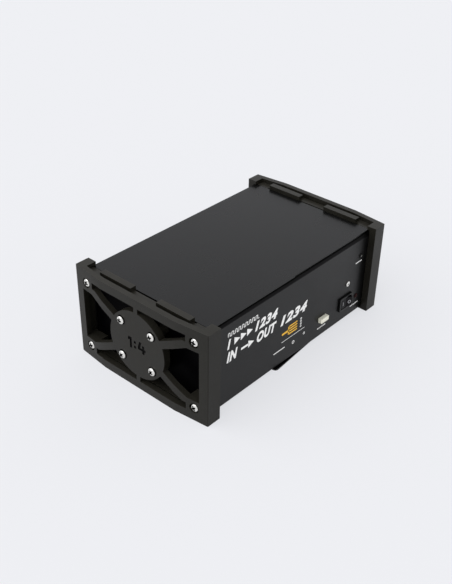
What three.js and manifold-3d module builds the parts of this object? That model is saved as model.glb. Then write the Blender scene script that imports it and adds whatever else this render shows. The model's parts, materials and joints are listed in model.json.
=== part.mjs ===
// A four-way DMX splitter: a folded sheet-metal case between two bowed rubber end frames.
// Units are millimetres. X runs along the case, -Y is the control panel, +Z is up.
// The origin is under the middle of the case, on the plane that the end frames stand on.
import * as THREE from 'three';
import { mergeVertices } from 'three/addons/utils/BufferGeometryUtils.js';
import Module from 'manifold-3d';

const wasm = await Module();
wasm.setup();

// Driving sizes of the whole object
const caseLength = 227;
const caseWidth = 145.2;
const sheet = 1.2;
const foldRadius = 1.6;
const frameSideStand = 7.4;
const frameRise = 4.15;
const frameDrop = 2.35;

// Clearances shared by all fits, and the overrun of every cut
const fit = 0.3;
const seatGap = 0.1;
const overrun = 1;

// End frames
const rimOverlap = 2.7;
const rimDepth = 15.1;
const frontBow = 3.9;
const bowEndLength = 36.1;
const frontWall = 5.6;
const cornerRound = 0.8;
const barHeight = 8.6;
const sideBarWidth = 9.3;
const hubGap = 5.2;
const hubDepth = 7.2;
const hubWebWidth = 4.6;
const spokeWidth = 7.4;
const spokeTopDrop = 6.7;
const cornerPadWidth = 23.2;
const cornerPadHeight = 21.2;
const ledgeSetback = 1.7;
const tabLength = 38.6;
const tabDepth = 6.5;
const tabSpread = 69.4;
const cornerBlockWidth = 9.8;
const hubScrewInset = 7.337;
const cornerScrewInsetY = 14.8;
const cornerScrewInsetZ = 13.1;
const hubBossRadius = 5;
const counterboreRadius = 4.9;
const counterboreDepth = 2.2;

// Frame screws
const screwRadius = 2;
const screwHeadRadius = 3.9;
const screwHeadHeight = 2.6;
const screwRimHeight = 0.9;
const screwReach = 6;

// Case: lid lips, the reveal under the lid, and the end plates
const lidLipHeight = 9;
const narrowReveal = 1.2;
const wideReveal = 1.9;
const revealStepShare = 0.488;
const endFlange = 9;

// Control panel, places measured from the right end of the case and from its bottom or its top
const rockerFromEnd = 33.1;
const rockerHeight = 20.7;
const rockerBezelLength = 21;
const rockerBezelHeight = 15;
const rockerBezelProud = 2;
const rockerBezelRim = 2;
const rockerBezelRound = 1.2;
const rockerBodyInset = 1;
const rockerBodyDepth = 15;
const rockerPivotDepth = 1;
const rockerFace = 2.7;
const rockerBack = 2.4;
const rockerTilt = 11;
const buttonFromEnd = 70.2;
const buttonHeight = 19.9;
const buttonLength = 12;
const buttonTall = 4.9;
const buttonProud = 3.6;
const buttonRound = 0.7;
const buttonTravel = 2;
const buttonCapDepth = 6.4;
const buttonStem = 3;
const buttonBodyDepth = 12;
const buttonBodyWidth = 9;
const ledRadius = 2.5;
const ledProud = 1.5;
const ledFlange = 0.6;
const ledFlangeHeight = 1;
const ledBodyDepth = 5;
const powerLedFromEnd = 14.3;
const powerLedHeight = 19.1;
const signalLedFromEnd = 13.5;
const signalLedDrop = 23.1;
const panelScrewFromEnd = 32.4;
const panelScrewHeight = 41.6;
const panelScrewRadius = 1.5;
const panelScrewHeadRadius = 2.8;
const panelScrewHeadHeight = 2;
const panelScrewRimHeight = 0.7;
const panelScrewReach = 6;
const panelNutWidth = 5.5;
const panelNutHeight = 2.4;

// Rear connectors
const flangeWidth = 26;
const flangeHeight = 31;
const flangeRound = 3;
const flangeProud = 3;
const socketBodyRadius = 11.8;
const socketBodyDepth = 18;
const socketBoreRadius = 9.8;
const socketInsertRadius = 7.9;
const socketInsertSetback = 1.2;
const socketBoreDepth = 13;
const contactCircle = 4.9;
const contactAnglesShare = [1 / 10, 4 / 10, 3 / 4];
const plugBoreRadius = 8.1;
const plugPinRadius = 1.2;
const plugPinSetback = 2;
const latchWidth = 9;
const latchHeight = 3.6;
const latchThickness = 3.4;
const latchSlotFloor = 0.5;
const latchTravel = 1.4;
const outputPitch = 36;
const outputFromEnd = 25.5;
const lowerRowMargin = 7.1;
const rowGap = 9;
const upperRowMargin = 10;
const outputCount = 4;

// Mains inlet with its fuse drawer
const inletFromEnd = 31.5;
const inletFlangeWidth = 31;
const inletFlangeHeight = 37;
const inletFlangeRound = 2.5;
const inletCavityWidth = 24.4;
const inletCavityHeight = 16.6;
const inletCavityDepth = 15;
const inletCavityChamfer = 4.4;
const inletBodyInset = 1.8;
const inletBodyDepth = 22;
const inletHeight = 28.2;
const inletCavityRaise = 6;
const bladeWidth = 2;
const bladeTall = 4;
const bladeSpread = 14;
const bladeStagger = 4;
const bladeSetback = 2;
const drawerWidth = 23;
const drawerHeight = 8;
const drawerLength = 17;
const drawerDrop = 11.4;
const drawerLipProud = 1.6;
const drawerLipMargin = 1;

// Circuit boards inside
const boardThickness = 1.6;
const spacerHeight = 8;
const spacerRadius = 3;
const spacerInset = 5;
const mainBoardEndGap = 13.5;
const mainBoardFrontGap = 5.6;
const mainBoardRearGap = 27.6;
const boardSpacing = 2;
const supplyBoardWidth = 50;
const supplyBoardEndGap = 11.5;
const supplyBoardEdgeGap = 28.6;
const chipStartGap = 12;
const chipEndGap = 30;
const chipLength = 15;
const chipDepth = 9;
const chipHeight = 4;
const isolatorLength = 8;
const isolatorSetback = 20;
const transformerLength = 30;
const transformerDepth = 26;
const transformerHeight = 26;
const transformerSetback = 14;
const capacitorRadius = 8;
const capacitorHeight = 22;
const capacitorSpread = 20;
const capacitorSetback = 24;

// Swivel plate under the case
const plateWidth = 69;
const plateThickness = 1.2;
const plateRound = 3.6;
const plateFloorGap = 0.3;
const plateTurn = 4.85;
const pivotRadius = 4;
const pivotHeadRadius = 9;
const pivotHeadThickness = 0.5;
const pivotNutWidth = 13;
const pivotNutHeight = 5;
const pivotThreadPast = 1;
const pivotWasherRadius = 10;

// Roundness of the curves, in steps for a full turn
const fineTurn = 48;
const mediumTurn = 24;
const coarseTurn = 12;

// Levels and planes that follow from the driving sizes: two rows of flanges set the height of the case
const caseHeight = lowerRowMargin + flangeHeight + rowGap + flangeHeight + upperRowMargin;
const frameWidth = caseWidth + 2 * frameSideStand;
const frameHeight = frameDrop + caseHeight + frameRise;
const caseBottom = frameDrop;
const caseTop = caseBottom + caseHeight;
const caseEnd = caseLength / 2;
const panelFace = -caseWidth / 2;
const rearFace = caseWidth / 2;
const floorInside = caseBottom + sheet;
const lidUnderside = caseTop - sheet;
const boardSeat = floorInside + spacerHeight;
const boardTop = boardSeat + boardThickness;
const lipOuter = caseWidth / 2 - sheet - fit;
const rockerZ = caseBottom + rockerHeight;
const buttonZ = caseBottom + buttonHeight;
const powerLedZ = caseBottom + powerLedHeight;
const signalLedZ = caseTop - signalLedDrop;
const panelScrewZ = caseBottom + panelScrewHeight;
const lowerRowZ = caseBottom + lowerRowMargin + flangeHeight / 2;
const upperRowZ = caseTop - upperRowMargin - flangeHeight / 2;
const inletZ = caseBottom + inletHeight;
const rockerPivotY = panelFace + rockerPivotDepth;
const rockerX = caseEnd - rockerFromEnd;
const buttonX = caseEnd - buttonFromEnd;
const powerLedX = caseEnd - powerLedFromEnd;
const signalLedX = caseEnd - signalLedFromEnd;
const panelScrewX = caseEnd - panelScrewFromEnd;
const outputStartX = outputFromEnd - caseEnd;
const inletX = caseEnd - inletFromEnd;
const supplyBoardX = caseEnd - supplyBoardEndGap - supplyBoardWidth / 2;
const supplyBoardDepth = caseWidth - 2 * supplyBoardEdgeGap;
const mainBoardWidth = caseLength - mainBoardEndGap - boardSpacing - supplyBoardWidth - supplyBoardEndGap;
const mainBoardX = mainBoardEndGap + mainBoardWidth / 2 - caseEnd;
const mainBoardDepth = caseWidth - mainBoardFrontGap - mainBoardRearGap;
const mainBoardY = panelFace + mainBoardFrontGap + mainBoardDepth / 2;

// Solids and geometry

function solidOf(geometry) {
  const bare = geometry.index ? geometry.clone() : geometry;
  bare.deleteAttribute('normal');
  bare.deleteAttribute('uv');
  const merged = mergeVertices(bare, 1e-5);
  return new wasm.Manifold(new wasm.Mesh({
    numProp: 3,
    vertProperties: merged.attributes.position.array,
    triVerts: Uint32Array.from(merged.index.array),
  }));
}

function geometryOf(solid) {
  const mesh = solid.getMesh();
  const geometry = new THREE.BufferGeometry();
  geometry.setAttribute('position', new THREE.BufferAttribute(mesh.vertProperties, mesh.numProp));
  geometry.setIndex(new THREE.BufferAttribute(mesh.triVerts, 1));
  geometry.computeVertexNormals();
  return geometry;
}

function join(...solids) {
  return solids.flat().reduce((whole, solid) => whole.add(solid));
}

function cut(body, ...tools) {
  return tools.flat().reduce((rest, tool) => rest.subtract(tool), body);
}

function block(x0, x1, y0, y1, z0, z1) {
  const geometry = new THREE.BoxGeometry(x1 - x0, y1 - y0, z1 - z0);
  geometry.translate((x0 + x1) / 2, (y0 + y1) / 2, (z0 + z1) / 2);
  return solidOf(geometry);
}

function extrude(shape, length, steps) {
  return new THREE.ExtrudeGeometry(shape, {
    depth: length,
    bevelEnabled: false,
    curveSegments: steps,
  });
}

// A shape drawn in Y and Z, run along X
function prismX(shape, x0, x1, steps = 4) {
  const geometry = extrude(shape, x1 - x0, steps);
  geometry.applyMatrix4(new THREE.Matrix4().set(0, 0, 1, x0, 1, 0, 0, 0, 0, 1, 0, 0, 0, 0, 0, 1));
  return solidOf(geometry);
}

// A shape drawn in X and Z, run along Y
function prismY(shape, y0, y1, steps = 4) {
  const geometry = extrude(shape, y1 - y0, steps);
  geometry.applyMatrix4(new THREE.Matrix4().set(1, 0, 0, 0, 0, 0, -1, y1, 0, 1, 0, 0, 0, 0, 0, 1));
  return solidOf(geometry);
}

// A shape drawn in X and Y, run along Z
function prismZ(shape, z0, z1, steps = 4) {
  const geometry = extrude(shape, z1 - z0, steps);
  geometry.translate(0, 0, z0);
  return solidOf(geometry);
}

// A half profile of radius and height pairs, turned about Z
function turned(profile, steps) {
  const points = profile.map(([radius, height]) => new THREE.Vector2(radius, height));
  const geometry = new THREE.LatheGeometry(points, steps);
  geometry.rotateX(Math.PI / 2);
  return solidOf(geometry);
}

function rodZ(radius, z0, z1, steps, x = 0, y = 0) {
  return turned([[0, z0], [radius, z0], [radius, z1], [0, z1]], steps).translate([x, y, 0]);
}

function rodX(radius, x0, x1, steps, y = 0, z = 0) {
  return rodZ(radius, x0, x1, steps).rotate([0, 90, 0]).translate([0, y, z]);
}

function rodY(radius, y0, y1, steps, x = 0, z = 0) {
  return rodZ(radius, -y1, -y0, steps).rotate([90, 0, 0]).translate([x, 0, z]);
}

function roundedRectangle(width, height, radius, x = 0, y = 0) {
  const w = width / 2;
  const h = height / 2;
  const shape = new THREE.Shape();
  shape.moveTo(x - w + radius, y - h);
  shape.lineTo(x + w - radius, y - h);
  shape.absarc(x + w - radius, y - h + radius, radius, -Math.PI / 2, 0);
  shape.lineTo(x + w, y + h - radius);
  shape.absarc(x + w - radius, y + h - radius, radius, 0, Math.PI / 2);
  shape.lineTo(x - w + radius, y + h);
  shape.absarc(x - w + radius, y + h - radius, radius, Math.PI / 2, Math.PI);
  shape.lineTo(x - w, y - h + radius);
  shape.absarc(x - w + radius, y - h + radius, radius, Math.PI, 1.5 * Math.PI);
  return shape;
}

function polygon(points) {
  return new THREE.Shape(points.map(([x, y]) => new THREE.Vector2(x, y)));
}

function hexagon(acrossFlats) {
  const corner = acrossFlats / Math.sqrt(3);
  const points = [];
  for (let side = 0; side < 6; side += 1) {
    const angle = (side * Math.PI) / 3;
    points.push([corner * Math.cos(angle), corner * Math.sin(angle)]);
  }
  return polygon(points);
}

function signs() {
  return [[1, 1], [-1, 1], [-1, -1], [1, -1]];
}

function ordered(a, b) {
  return a < b ? [a, b] : [b, a];
}

// Materials, one for each finish

const finish = {
  paintedSheet: (colour = 0x2f2f30) => new THREE.MeshStandardMaterial({
    color: colour, roughness: 0.55, metalness: 0.1,
  }),
  frameRubber: () => new THREE.MeshStandardMaterial({ color: 0x2c2c2a, roughness: 0.75 }),
  plainSteel: () => new THREE.MeshStandardMaterial({
    color: 0xc9c9c6, roughness: 0.25, metalness: 1,
  }),
  blackPlastic: () => new THREE.MeshStandardMaterial({ color: 0x18181a, roughness: 0.4 }),
  creamPlastic: () => new THREE.MeshStandardMaterial({ color: 0xe8e8d4, roughness: 0.45 }),
  redLens: () => new THREE.MeshStandardMaterial({ color: 0x4a0d0d, roughness: 0.2 }),
  smokeLens: () => new THREE.MeshStandardMaterial({ color: 0x2b2f2b, roughness: 0.2 }),
  nickelShell: () => new THREE.MeshStandardMaterial({
    color: 0xa8a8a4, roughness: 0.35, metalness: 1,
  }),
  circuitBoard: () => new THREE.MeshStandardMaterial({ color: 0x1f5a34, roughness: 0.6 }),
};

const splitter = new THREE.Group();
splitter.name = 'dmx_splitter';

function addPart(name, solid, material, parent = splitter) {
  const geometry = solid.isBufferGeometry ? solid : geometryOf(solid);
  const mesh = new THREE.Mesh(geometry, material);
  mesh.name = name;
  parent.add(mesh);
  return mesh;
}

// Screws: a domed head standing on Z with its seat at zero, and a plain shank below it

function panScrew(radius, headRadius, headHeight, rimHeight, length) {
  return turned([
    [0, -length],
    [radius, -length],
    [radius, 0],
    [headRadius, 0],
    ...domeProfile(headRadius, rimHeight, headHeight - rimHeight, 2),
  ], coarseTurn);
}

// A quarter of an ellipse from the rim at the given level up to the axis
function domeProfile(radius, level, rise, steps) {
  const points = [];
  for (let step = 0; step < steps; step += 1) {
    const angle = (step / steps) * (Math.PI / 2);
    points.push([radius * Math.cos(angle), level + rise * Math.sin(angle)]);
  }
  return [...points, [0, level + rise]];
}

// End frame: one moulding, drawn with X outwards from the end of the case and Z from its own middle

const halfWidth = frameWidth / 2;
const halfHeight = frameHeight / 2;
const cornerPlane = rimDepth - rimOverlap;
const bowPlane = cornerPlane + frontBow;
const bowFlat = halfWidth - bowEndLength;
const openingHalfWidth = halfWidth - sideBarWidth;
const openingHalfHeight = halfHeight - barHeight;
const caseEdges = [
  { side: 1, level: caseTop - halfHeight },
  { side: -1, level: caseBottom - halfHeight },
];
const rimInner = caseWidth / 2 + fit;
const hubRadius = openingHalfHeight - hubGap;
const hubScrewReach = (hubRadius - hubScrewInset) / Math.SQRT2;
const cornerScrewY = halfWidth - cornerScrewInsetY;
const cornerScrewZ = halfHeight - cornerScrewInsetZ;
const screwAngle = Math.atan2(cornerScrewZ, cornerScrewY);

function frontPlaneAt(y) {
  const slope = frontBow / (halfWidth - bowFlat);
  return bowPlane - Math.max(0, Math.abs(y) - bowFlat) * slope;
}

// The bowed front wall seen from above: a flat middle, sloping ends and rounded corners
function bowedWallOutline() {
  const shape = new THREE.Shape();
  const slope = frontBow / (halfWidth - bowFlat);
  const inner = cornerPlane - frontWall;
  const roundEnd = cornerPlane + cornerRound * slope;
  shape.moveTo(inner, -halfWidth);
  shape.lineTo(cornerPlane - cornerRound, -halfWidth);
  shape.quadraticCurveTo(cornerPlane, -halfWidth, roundEnd, -halfWidth + cornerRound);
  shape.lineTo(bowPlane, -bowFlat);
  shape.lineTo(bowPlane, bowFlat);
  shape.lineTo(roundEnd, halfWidth - cornerRound);
  shape.quadraticCurveTo(cornerPlane, halfWidth, cornerPlane - cornerRound, halfWidth);
  shape.lineTo(inner, halfWidth);
  shape.lineTo(bowPlane - frontWall, bowFlat);
  shape.lineTo(bowPlane - frontWall, -bowFlat);
  return shape;
}

// What stays inside the front opening: the hub, its two webs, four spokes and four corner pads
function frontPattern(x0, x1) {
  const spokeReach = Math.hypot(cornerScrewY, cornerScrewZ);
  const spokeTop = openingHalfHeight - spokeTopDrop;
  const pieces = [rodX(hubRadius, x0, x1, fineTurn)];
  pieces.push(block(x0, x1, -hubWebWidth / 2, hubWebWidth / 2, -halfHeight, halfHeight));
  const spokeLimit = block(x0, x1, -halfWidth, halfWidth, -spokeTop, spokeTop);
  for (const turn of [screwAngle, -screwAngle]) {
    const spoke = block(x0, x1, -spokeReach, spokeReach, -spokeWidth / 2, spokeWidth / 2);
    pieces.push(spoke.rotate([THREE.MathUtils.radToDeg(turn), 0, 0]).intersect(spokeLimit));
  }
  const padEdgeY = halfWidth - cornerPadWidth;
  const padEdgeZ = halfHeight - cornerPadHeight;
  for (const [sideY, sideZ] of signs()) {
    pieces.push(block(x0, x1, ...ordered(sideY * padEdgeY, sideY * halfWidth),
      ...ordered(sideZ * padEdgeZ, sideZ * halfHeight)));
  }
  return join(pieces);
}

function frontOpenings() {
  const x0 = cornerPlane - frontWall - overrun;
  const x1 = bowPlane + overrun;
  const field = block(x0, x1, -openingHalfWidth, openingHalfWidth, -openingHalfHeight, openingHalfHeight);
  return cut(field, frontPattern(x0 - overrun, x1 + overrun));
}

// A block on the rear side and its mirror image on the front side
function pairedBlocks(x0, x1, y0, y1, z0, z1) {
  return [block(x0, x1, y0, y1, z0, z1), block(x0, x1, -y1, -y0, z0, z1)];
}

// Along the top and the bottom of the case: corner bosses, a ledge, two tabs and the corner blocks
function caseEdgePieces(wallInside, cornerInside) {
  const tabStart = (tabSpread - tabLength) / 2;
  return caseEdges.flatMap(({ side, level }) => {
    const ledge = level - side * seatGap;
    const rim = side * halfHeight;
    return [
      ...pairedBlocks(fit, wallInside, halfWidth - cornerPadWidth, rimInner + overrun,
        ...ordered(rim - side * cornerPadHeight, ledge)),
      block(ledgeSetback, wallInside, -rimInner - overrun, rimInner + overrun,
        ...ordered(side * openingHalfHeight, ledge)),
      ...pairedBlocks(fit, fit + tabDepth, tabStart, tabStart + tabLength,
        ...ordered(ledge - side * ledgeSetback, rim)),
      ...pairedBlocks(-rimOverlap, cornerInside, halfWidth - cornerBlockWidth, halfWidth,
        ...ordered(level + side * fit, rim)),
    ];
  });
}

function frameScrewPlaces() {
  const places = signs().map(([sideY, sideZ]) => ({
    kind: 'hub', y: sideY * hubScrewReach, z: sideZ * hubScrewReach, seat: bowPlane,
  }));
  for (const [sideY, sideZ] of signs()) {
    const y = sideY * cornerScrewY;
    const z = sideZ * cornerScrewZ;
    places.push({ kind: 'corner', y, z, seat: frontPlaneAt(y) - counterboreDepth });
  }
  return places;
}

function endFrameSolid() {
  const wallInside = cornerPlane - frontWall / 2;
  const hubBack = bowPlane - hubDepth;
  const cornerInside = cornerPlane - cornerRound;
  const frontBars = cut(prismZ(bowedWallOutline(), -halfHeight, halfHeight), frontOpenings());
  const hub = rodX(hubRadius, hubBack, bowPlane - frontWall / 2, fineTurn);
  const hubBosses = frameScrewPlaces().filter(({ kind }) => kind === 'hub')
    .map(({ y, z }) => rodX(hubBossRadius, fit, hubBack + seatGap, coarseTurn, y, z));
  const sideWalls = pairedBlocks(-rimOverlap, cornerInside, rimInner, halfWidth, -halfHeight, halfHeight);
  const body = join(frontBars, hub, hubBosses, sideWalls, caseEdgePieces(wallInside, cornerInside));
  const holeRadius = screwRadius + fit;
  const holes = frameScrewPlaces().map(({ kind, y, z, seat }) => {
    const hole = rodX(holeRadius, -overrun, bowPlane + overrun, coarseTurn, y, z);
    if (kind === 'hub') return hole;
    return join(hole, rodX(counterboreRadius, seat, bowPlane + overrun, coarseTurn, y, z));
  });
  return cut(body, holes);
}

// Both ends carry the same moulding, the left one turned half round
function addEndFrames() {
  const frameGeometry = geometryOf(endFrameSolid());
  const screwLength = bowPlane + screwReach;
  const cornerSeat = frameScrewPlaces().find(({ kind }) => kind === 'corner').seat;
  const screwGeometry = {
    hub: panGeometry(screwLength),
    corner: panGeometry(cornerSeat + screwReach),
  };
  for (const [side, turn, sign] of [['right', 0, 1], ['left', Math.PI, -1]]) {
    const end = new THREE.Group();
    end.position.set(sign * caseEnd, 0, halfHeight);
    end.rotation.z = turn;
    addPart(`end_frame_${side}`, frameGeometry.clone(), finish.frameRubber(), end);
    frameScrewPlaces().forEach(({ kind, y, z, seat }, index) => {
      const name = `${kind}_screw_${side}_${(index % 4) + 1}`;
      const screw = addPart(name, screwGeometry[kind].clone(), finish.plainSteel(), end);
      screw.position.set(seat + seatGap, y, z);
      screw.rotation.y = Math.PI / 2;
    });
    splitter.add(end);
  }
}

function panGeometry(length) {
  return geometryOf(panScrew(screwRadius, screwHeadRadius, screwHeadHeight, screwRimHeight, length));
}

// Case: a U-shaped tray, a lid with lips inside the walls, and a flanged plate at each end

function trayOutline() {
  const w = caseWidth / 2;
  const inner = w - sheet;
  const innerRadius = foldRadius - sheet;
  const shape = new THREE.Shape();
  shape.moveTo(-w, lidUnderside);
  shape.lineTo(-w, caseBottom + foldRadius);
  shape.absarc(-w + foldRadius, caseBottom + foldRadius, foldRadius, Math.PI, 1.5 * Math.PI);
  shape.lineTo(w - foldRadius, caseBottom);
  shape.absarc(w - foldRadius, caseBottom + foldRadius, foldRadius, 1.5 * Math.PI, 2 * Math.PI);
  shape.lineTo(w, lidUnderside);
  shape.lineTo(inner, lidUnderside);
  shape.lineTo(inner, floorInside + innerRadius);
  shape.lineTo(inner - innerRadius, floorInside);
  shape.lineTo(-inner + innerRadius, floorInside);
  shape.lineTo(-inner, floorInside + innerRadius);
  shape.lineTo(-inner, lidUnderside);
  return shape;
}

function throughPanel(shape) {
  return prismY(shape, panelFace - overrun, panelFace + sheet + overrun);
}

function throughRear(shape, steps = 4) {
  return prismY(shape, rearFace - sheet - overrun, rearFace + overrun, steps);
}

function caseTraySolid() {
  const tray = prismX(trayOutline(), -caseEnd, caseEnd);
  const stepX = -caseEnd + caseLength * revealStepShare;
  const reveals = [
    block(-caseEnd - overrun, stepX, panelFace - overrun, panelFace + sheet + overrun,
      lidUnderside - narrowReveal, caseTop),
    block(stepX, caseEnd + overrun, panelFace - overrun, panelFace + sheet + overrun,
      lidUnderside - wideReveal, caseTop),
    block(-caseEnd - overrun, caseEnd + overrun, rearFace - sheet - overrun, rearFace + overrun,
      lidUnderside - narrowReveal, caseTop),
  ];
  const rockerBody = [rockerBezelLength, rockerBezelHeight].map((size) => size - 2 * rockerBodyInset);
  const panelHoles = [
    throughPanel(roundedRectangle(rockerBody[0] + 2 * fit, rockerBody[1] + 2 * fit, fit, rockerX, rockerZ)),
    throughPanel(roundedRectangle(buttonLength + 2 * fit, buttonTall + 2 * fit, buttonRound + fit,
      buttonX, buttonZ)),
    panelHole(ledRadius + fit, powerLedX, powerLedZ),
    panelHole(ledRadius + fit, signalLedX, signalLedZ),
    panelHole(panelScrewRadius + fit, panelScrewX, panelScrewZ),
  ];
  const rearHoles = socketPlaces().map(({ x, z }) => {
    return rodY(socketBodyRadius + fit, rearFace - sheet - overrun, rearFace + overrun, mediumTurn, x, z);
  });
  rearHoles.push(throughRear(roundedRectangle(inletBodyWidth() + 2 * fit, inletBodyHeight() + 2 * fit,
    inletFlangeRound, inletX, inletZ)));
  const pivotHole = rodZ(pivotRadius + fit, caseBottom - overrun, floorInside + overrun, mediumTurn);
  return cut(tray, reveals, panelHoles, rearHoles, pivotHole);
}

function panelHole(radius, x, z) {
  return rodY(radius, panelFace - overrun, panelFace + sheet + overrun, coarseTurn, x, z);
}

function caseLidSolid() {
  const w = caseWidth / 2;
  const lipInner = lipOuter - sheet;
  const lipEnd = lidUnderside - lidLipHeight;
  const edge = foldRadius / 2;
  const shape = new THREE.Shape();
  shape.moveTo(-w, lidUnderside);
  shape.lineTo(-w, caseTop - edge);
  shape.absarc(-w + edge, caseTop - edge, edge, Math.PI, Math.PI / 2, true);
  shape.lineTo(w - edge, caseTop);
  shape.absarc(w - edge, caseTop - edge, edge, Math.PI / 2, 0, true);
  shape.lineTo(w, lidUnderside);
  shape.lineTo(lipOuter, lidUnderside);
  shape.lineTo(lipOuter, lipEnd);
  shape.lineTo(lipInner, lipEnd);
  shape.lineTo(lipInner, lidUnderside);
  shape.lineTo(-lipInner, lidUnderside);
  shape.lineTo(-lipInner, lipEnd);
  shape.lineTo(-lipOuter, lipEnd);
  shape.lineTo(-lipOuter, lidUnderside);
  return prismX(shape, -caseEnd, caseEnd);
}

// A pan with its flat face at X zero and its flanges pointing into the case
function endPlateSolid() {
  const w = lipOuter - sheet - fit;
  const bottom = floorInside + fit - halfHeight;
  const top = lidUnderside - fit - halfHeight;
  const pan = block(-endFlange, 0, -w, w, bottom, top);
  const inside = block(-endFlange - overrun, -sheet, -w + sheet, w - sheet, bottom + sheet, top - sheet);
  const holes = frameScrewPlaces().map(({ y, z }) => {
    return rodX(screwRadius + fit, -sheet - overrun, overrun, coarseTurn, y, z);
  });
  return cut(pan, inside, holes);
}

function addCase() {
  addPart('case_tray', caseTraySolid(), finish.paintedSheet());
  addPart('case_lid', caseLidSolid(), finish.paintedSheet(0x363637));
  const plate = geometryOf(endPlateSolid());
  for (const [side, turn, sign] of [['right', 0, 1], ['left', Math.PI, -1]]) {
    const mesh = addPart(`end_plate_${side}`, plate.clone(), finish.paintedSheet(0x1c1c1d));
    mesh.position.set(sign * caseEnd, 0, halfHeight);
    mesh.rotation.z = turn;
  }
}

// Control panel

// Bezel and switch body in one moulding, with a pocket that the rocker turns in
function rockerHousingSolid() {
  const flange = prismY(
    roundedRectangle(rockerBezelLength, rockerBezelHeight, rockerBezelRound, rockerX, rockerZ),
    panelFace - rockerBezelProud, panelFace - seatGap,
  );
  const halfLength = rockerBezelLength / 2 - rockerBodyInset;
  const halfTall = rockerBezelHeight / 2 - rockerBodyInset;
  const body = block(rockerX - halfLength, rockerX + halfLength, panelFace - rockerBezelProud / 2,
    panelFace + rockerBodyDepth, rockerZ - halfTall, rockerZ + halfTall);
  const pocketLength = rockerBezelLength / 2 - rockerBezelRim;
  const pocketTall = rockerBezelHeight / 2 - rockerBezelRim;
  const pocket = block(rockerX - pocketLength, rockerX + pocketLength, panelFace - rockerBezelProud - overrun,
    rockerPivotY + rockerSweep() + fit, rockerZ - pocketTall, rockerZ + pocketTall);
  return cut(join(flange, body), pocket);
}

function rockerRadius() {
  return rockerBezelLength / 2 - rockerBezelRim - fit;
}

// How far behind its pivot the rocker reaches when it is tilted
function rockerSweep() {
  const radius = rockerRadius();
  const corner = Math.asin(Math.min(1, rockerBack / radius));
  return radius * Math.sin(Math.min(Math.PI / 2, corner + THREE.MathUtils.degToRad(rockerTilt)));
}

// A paddle with a shallow valley across its face, so that one half lies flat when the other stands out
function rockerPaddleSolid() {
  const radius = rockerRadius();
  const tall = rockerBezelHeight / 2 - rockerBezelRim - fit;
  const rise = radius * Math.tan(THREE.MathUtils.degToRad(rockerTilt));
  const drum = rodZ(radius, -tall, tall, mediumTurn);
  const wedge = prismZ(polygon([
    [-radius, -rockerFace - rise],
    [0, -rockerFace],
    [radius, -rockerFace - rise],
    [radius, rockerBack],
    [-radius, rockerBack],
  ]), -tall - overrun, tall + overrun);
  return drum.intersect(wedge);
}

function addRocker() {
  addPart('rocker_housing', rockerHousingSolid(), finish.blackPlastic());
  const paddle = addPart('rocker_paddle', rockerPaddleSolid(), finish.blackPlastic());
  paddle.position.set(rockerX, rockerPivotY, rockerZ);
  paddle.rotation.z = THREE.MathUtils.degToRad(-rockerTilt);
}

// A latching switch on the main board, and the cap on its plunger
function addButton() {
  const capFront = panelFace - buttonProud;
  const capBack = capFront + buttonCapDepth;
  const bodyFront = capBack + buttonTravel + fit;
  const bodyBack = bodyFront + buttonBodyDepth;
  const stemEnd = bodyFront + buttonBodyDepth / 2;
  const halfBody = buttonBodyWidth / 2;
  const halfStem = buttonStem / 2;
  const cap = prismY(roundedRectangle(buttonLength, buttonTall, buttonRound, buttonX, buttonZ),
    capFront, capBack);
  const stem = block(buttonX - halfStem, buttonX + halfStem, capBack - overrun, stemEnd,
    buttonZ - halfStem, buttonZ + halfStem);
  const body = block(buttonX - halfBody, buttonX + halfBody, bodyFront, bodyBack,
    boardTop, buttonZ + halfBody);
  const bore = block(buttonX - halfStem - fit, buttonX + halfStem + fit, bodyFront - overrun,
    stemEnd + buttonTravel + fit, buttonZ - halfStem - fit, buttonZ + halfStem + fit);
  addPart('button_switch', cut(body, bore), finish.blackPlastic());
  addPart('button_cap', join(cap, stem), finish.creamPlastic());
}

function ledSolid() {
  const back = sheet + ledBodyDepth;
  return turned([
    [0, -back],
    [ledRadius + ledFlange, -back],
    [ledRadius + ledFlange, -back + ledFlangeHeight],
    [ledRadius, -back + ledFlangeHeight],
    ...domeProfile(ledRadius, 0, ledProud, 3),
  ], coarseTurn);
}

function addPanelFittings() {
  const led = geometryOf(ledSolid());
  const lights = [
    ['power_led', powerLedX, powerLedZ, finish.redLens()],
    ['signal_led', signalLedX, signalLedZ, finish.smokeLens()],
  ];
  for (const [name, x, z, material] of lights) {
    const mesh = addPart(name, led.clone(), material);
    mesh.position.set(x, panelFace, z);
    mesh.rotation.x = Math.PI / 2;
  }
  const screw = addPart('panel_screw', panScrew(panelScrewRadius, panelScrewHeadRadius,
    panelScrewHeadHeight, panelScrewRimHeight, panelScrewReach), finish.plainSteel());
  screw.position.set(panelScrewX, panelFace - seatGap, panelScrewZ);
  screw.rotation.x = Math.PI / 2;
  const nut = cut(
    prismZ(hexagon(panelNutWidth), 0, panelNutHeight),
    rodZ(panelScrewRadius + fit, -overrun, panelNutHeight + overrun, coarseTurn),
  );
  const nutMesh = addPart('panel_nut', nut, finish.plainSteel());
  nutMesh.position.set(panelScrewX, panelFace + sheet + seatGap + panelNutHeight, panelScrewZ);
  nutMesh.rotation.x = Math.PI / 2;
}

// Rear connectors, drawn with the flange standing on Z zero and the body below it

function socketPlaces() {
  const places = [
    { name: 'input_socket', x: outputStartX, z: lowerRowZ, male: true },
    { name: 'link_socket', x: outputStartX + outputPitch, z: lowerRowZ },
  ];
  for (let output = 0; output < outputCount; output += 1) {
    const x = outputStartX + output * outputPitch;
    places.push({ name: `output_socket_${output + 1}`, x, z: upperRowZ });
  }
  return places;
}

function contactPlaces() {
  return contactAnglesShare.map((share) => {
    const angle = share * 2 * Math.PI;
    return [contactCircle * Math.cos(angle), contactCircle * Math.sin(angle)];
  });
}

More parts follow.
